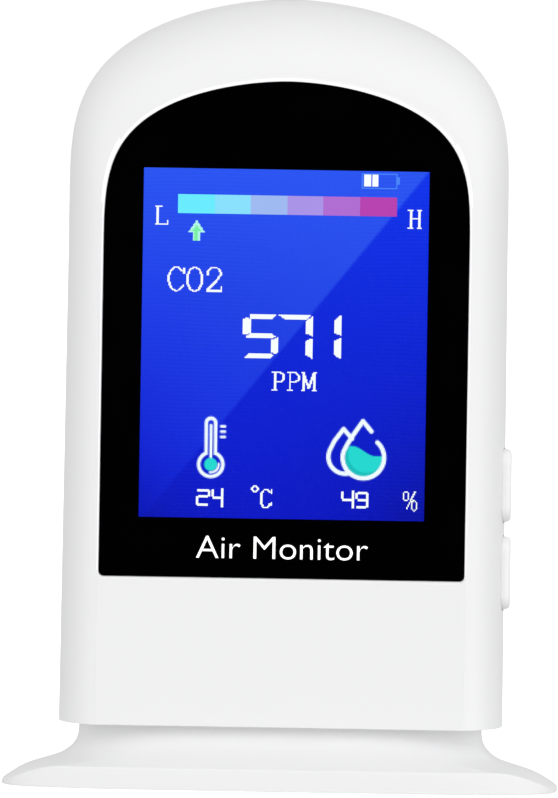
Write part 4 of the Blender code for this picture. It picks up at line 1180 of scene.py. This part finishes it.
def smooth_rings(points, steps):
    """Rows on a Catmull-Rom curve through the given rows."""
    p = np.array(points, float)
    p = np.concatenate([[2 * p[0] - p[1]], p, [2 * p[-1] - p[-2]]])
    dense = []
    for k in range(1, len(p) - 2):
        for t in np.linspace(0, 1, steps, endpoint=False):
            a, b, c, d = p[k - 1], p[k], p[k + 1], p[k + 2]
            dense.append(0.5 * (2 * b + (c - a) * t + (2 * a - 5 * b + 4 * c - d) * t * t
                                + (3 * b - a - 3 * c + d) * t ** 3))
    dense.append(p[-2])
    return [tuple(map(float, values)) for values in dense]


def foot_ring(half_x, side, front):
    """One ring of the foot: low at the side tips, higher along the front and back."""
    share = (RIM_HALF_X - half_x) / (RIM_HALF_X - NECK_HALF_X)
    half_y = RIM_HALF_Y + (NECK_HALF_Y - RIM_HALF_Y) * share
    tip = 8.0 + 7.0 * math.sin(min(1.0, share / 0.7) * math.pi / 2)
    ring = []
    for x, y, _ in superellipse(half_x, half_y, 4.1 - 0.5 * share, 0.0, 72):
        run = min(1.0, (RIM_HALF_X - abs(x) * RIM_HALF_X / half_x) / tip)
        lift = 1 - (1 - max(run, 0.0)) ** TIP_EASE
        ring.append((x, y, FOOT_BASE + side + (front - side) * lift))
    return ring


def foot_flare():
    foot = solid("foot_flare", [foot_ring(*station) for station in smooth_rings(FOOT_RINGS, 4)])
    cut(foot, [superellipse(half_x, half_y, PLATE_POWER if z < SEAT_Z else CAVITY_POWER, z, 40)
               for z, half_x, half_y in CAVITY])
    join(foot, *posts("Z", PLATE_SCREWS, PLATE_POST_RADIUS, (4.37, PLATE_POST_TOP)))
    cut(foot, *posts("Z", FOOT_SCREWS, SCREW_CLEARANCE, (6.5, FOOT_TOP + 1)),
        *posts("Z", PLATE_SCREWS, PILOT_RADIUS, (3.0, PLATE_POST_TOP)))
    dress(smooth(foot), "white_abs", stands_for=["foot_shell"])


def foot_cover():
    profile = ((plate_lo.z, PLATE_BEVEL), (plate_lo.z + PLATE_BEVEL, 0.0), (PLATE_TOP, 0.0))
    plate = solid("foot_cover", [superellipse(plate_hi.x - inset, plate_hi.y - inset,
                                              PLATE_POWER, z, 60) for z, inset in profile])
    join(plate, *posts("Z", PLATE_SCREWS, 3.2, (1.6, 4.2), segments=32))
    cut(plate, *turned("Z", PLATE_SCREWS, PLATE_HOLE, segments=32))
    dress(smooth(plate), "white_abs", stands_for=["foot_plate"])


def rubber_pad(number):
    """A round pad with a rounded lower rim and a shallow dish in its underside."""
    lo, hi = box_mm(f"foot_pad_{number}")
    centre, radius = ((lo.x + hi.x) / 2, (lo.y + hi.y) / 2), (hi.x - lo.x) / 2
    profile = [(hi.z, radius)]
    for i in range(PAD_ROUND_STEPS + 1):
        t = math.pi / 2 * i / PAD_ROUND_STEPS
        profile.append((lo.z + PAD_ROUND * (1 - math.sin(t)),
                        radius - PAD_ROUND * (1 - math.cos(t))))
    profile += [(lo.z, radius * 0.62), (lo.z + PAD_DISH, radius * 0.58)]
    pad = solid(f"rubber_pad_{number}", *turned("Z", [centre], profile, segments=56))
    dress(smooth(pad), "grey_rubber", stands_for=[f"foot_pad_{number}"])


# ---------------------------------------------------------------- CAD pieces that stay
def dress_cad_pieces():
    slots = {part["node"]: part["material_slot"] for part in frame["record"]["subparts"]}
    for node, obj in frame["nodes"].items():
        if not obj.hide_render:
            obj.data.materials.clear()
            obj.data.materials.append(MATERIALS[slots[node]])


# ---------------------------------------------------------------- floor, light and camera
# soft lamps far away: direction towards the lamp, how tightly it is gathered, level
LAMPS = [
    ((0, -1, 0.5), 16, 3.2),             # key, above the front
    ((0, -1, 1), 4, 0.45),
    ((-1, 0, 0), 4, 1.17),               # left and right sides
    ((1, 0, 0), 4, 1.04),
    ((1, -1, 0), 4, 0.195),
    ((1, -0.6, 1), 4, 0.30),
    ((0, -1, -1), 4, 0.60),              # bounce from the table in front
    ((0, 1, 0.1), 6, 1.9),               # behind
    ((0, 0, 1), 4, 0.05),                # overhead
]
AMBIENT = 0.225
BACKDROP_LEVEL = 1.05
# the room in polished surfaces: bright, fading to dark round the -Y direction
MIRROR_LEVEL, MIRROR_DARK_FROM, MIRROR_FADE = 0.62, 0.93, 4.0

# the camera stands in front, turned a little to the right and raised; angles in degrees
AZIMUTH, ELEVATION, ROLL = 1.0, 2.3, 0.93
CAMERA_DISTANCE = 4.0                    # metres, as are the target and clip distances
CAMERA_TARGET = (-0.001026, 0.0, 0.0587)
LENS_PER_METRE = 298.2                   # focal length for each metre of distance


def make_floor():
    bm = bmesh.new()
    bmesh.ops.create_grid(bm, x_segments=8, y_segments=8, size=2.5)
    mesh = bpy.data.meshes.new("floor")
    bm.to_mesh(mesh)
    bm.free()
    floor = link_object("floor", mesh)
    material = bpy.data.materials.new("floor")
    material.use_nodes = True
    Graph(material.node_tree).set(material.node_tree.nodes["Principled BSDF"], {
        "Base Color": (0.93, 0.93, 0.93),
        "Roughness": 0.9,
        "Specular IOR Level": 0.0,
        "Emission Color": (1, 1, 1),
        "Emission Strength": 0.8,
    })
    mesh.materials.append(material)
    # the floor's own bounce is already in the lower half of the studio light
    floor.visible_diffuse = False
    floor.visible_glossy = False
    floor.visible_transmission = False
    floor.visible_shadow = False


def make_world():
    """One light for rough surfaces, one for reflections and an even backdrop."""
    world = bpy.data.worlds.new("studio")
    bpy.context.scene.world = world
    world.use_nodes = True
    world.node_tree.nodes.clear()
    graph = Graph(world.node_tree)
    output = graph.add("ShaderNodeOutputWorld")
    direction = graph.add("ShaderNodeTexCoord").outputs["Generated"]
    rays = graph.add("ShaderNodeLightPath").outputs

    def slope(vector, offset=0.0):
        """The dot product of the direction with a vector, plus an offset."""
        node = graph.add("ShaderNodeVectorMath", {0: direction, 1: vector},
                         operation="DOT_PRODUCT")
        return graph.math("ADD", node.outputs["Value"], offset)

    def background(level):
        return graph.add("ShaderNodeBackground",
                         {"Color": (1, 1, 1), "Strength": level}).outputs[0]

    def choose(ray, otherwise, chosen):
        return graph.add("ShaderNodeMixShader",
                         {0: rays[ray], 1: otherwise, 2: chosen}).outputs[0]

    soft_light = AMBIENT
    for vector, power, level in LAMPS:
        facing = graph.math("MAXIMUM", slope(Vector(vector).normalized()), 0.0)
        lamp = graph.math("MULTIPLY", graph.math("POWER", facing, power), level)
        soft_light = graph.math("ADD", lamp, soft_light)
    dark = graph.math("SUBTRACT", MIRROR_DARK_FROM, slope((0.0, -1.0, 0.0)))
    mirror = graph.math("MULTIPLY", graph.math("MULTIPLY", dark, MIRROR_FADE, clamp=True),
                        MIRROR_LEVEL)
    seen = choose("Is Glossy Ray", background(soft_light), background(mirror))
    final = choose("Is Camera Ray", seen, background(BACKDROP_LEVEL))
    graph.set(output, {"Surface": final})


def make_camera():
    data = bpy.data.cameras.new("camera")
    data.sensor_width = 36.0
    data.lens = LENS_PER_METRE * CAMERA_DISTANCE
    data.clip_start = 0.05
    data.clip_end = 20.0
    camera = link_object("camera", data)
    azimuth, elevation = math.radians(AZIMUTH), math.radians(ELEVATION)
    away = Vector((math.sin(azimuth) * math.cos(elevation),
                   -math.cos(azimuth) * math.cos(elevation), math.sin(elevation)))
    look = (-away).to_track_quat("-Z", "Y").to_matrix().to_4x4()
    camera.matrix_world = (Matrix.Translation(Vector(CAMERA_TARGET) + away * CAMERA_DISTANCE)
                           @ look @ Matrix.Rotation(math.radians(ROLL), 4, "Z"))
    bpy.context.scene.camera = camera


# ---------------------------------------------------------------- build
make_materials()
front_housing()
rear_housing()
for button_name in BUTTONS:
    button_cap(button_name)
window()
window_print()
window_label()
draw_picture()
display_picture()
foot_flare()
foot_cover()
for pad_number in range(1, 5):
    rubber_pad(pad_number)
dress_cad_pieces()
make_floor()
make_world()
make_camera()
bpy.context.scene.view_settings.view_transform = "Standard"
bpy.context.scene.view_settings.look = "None"
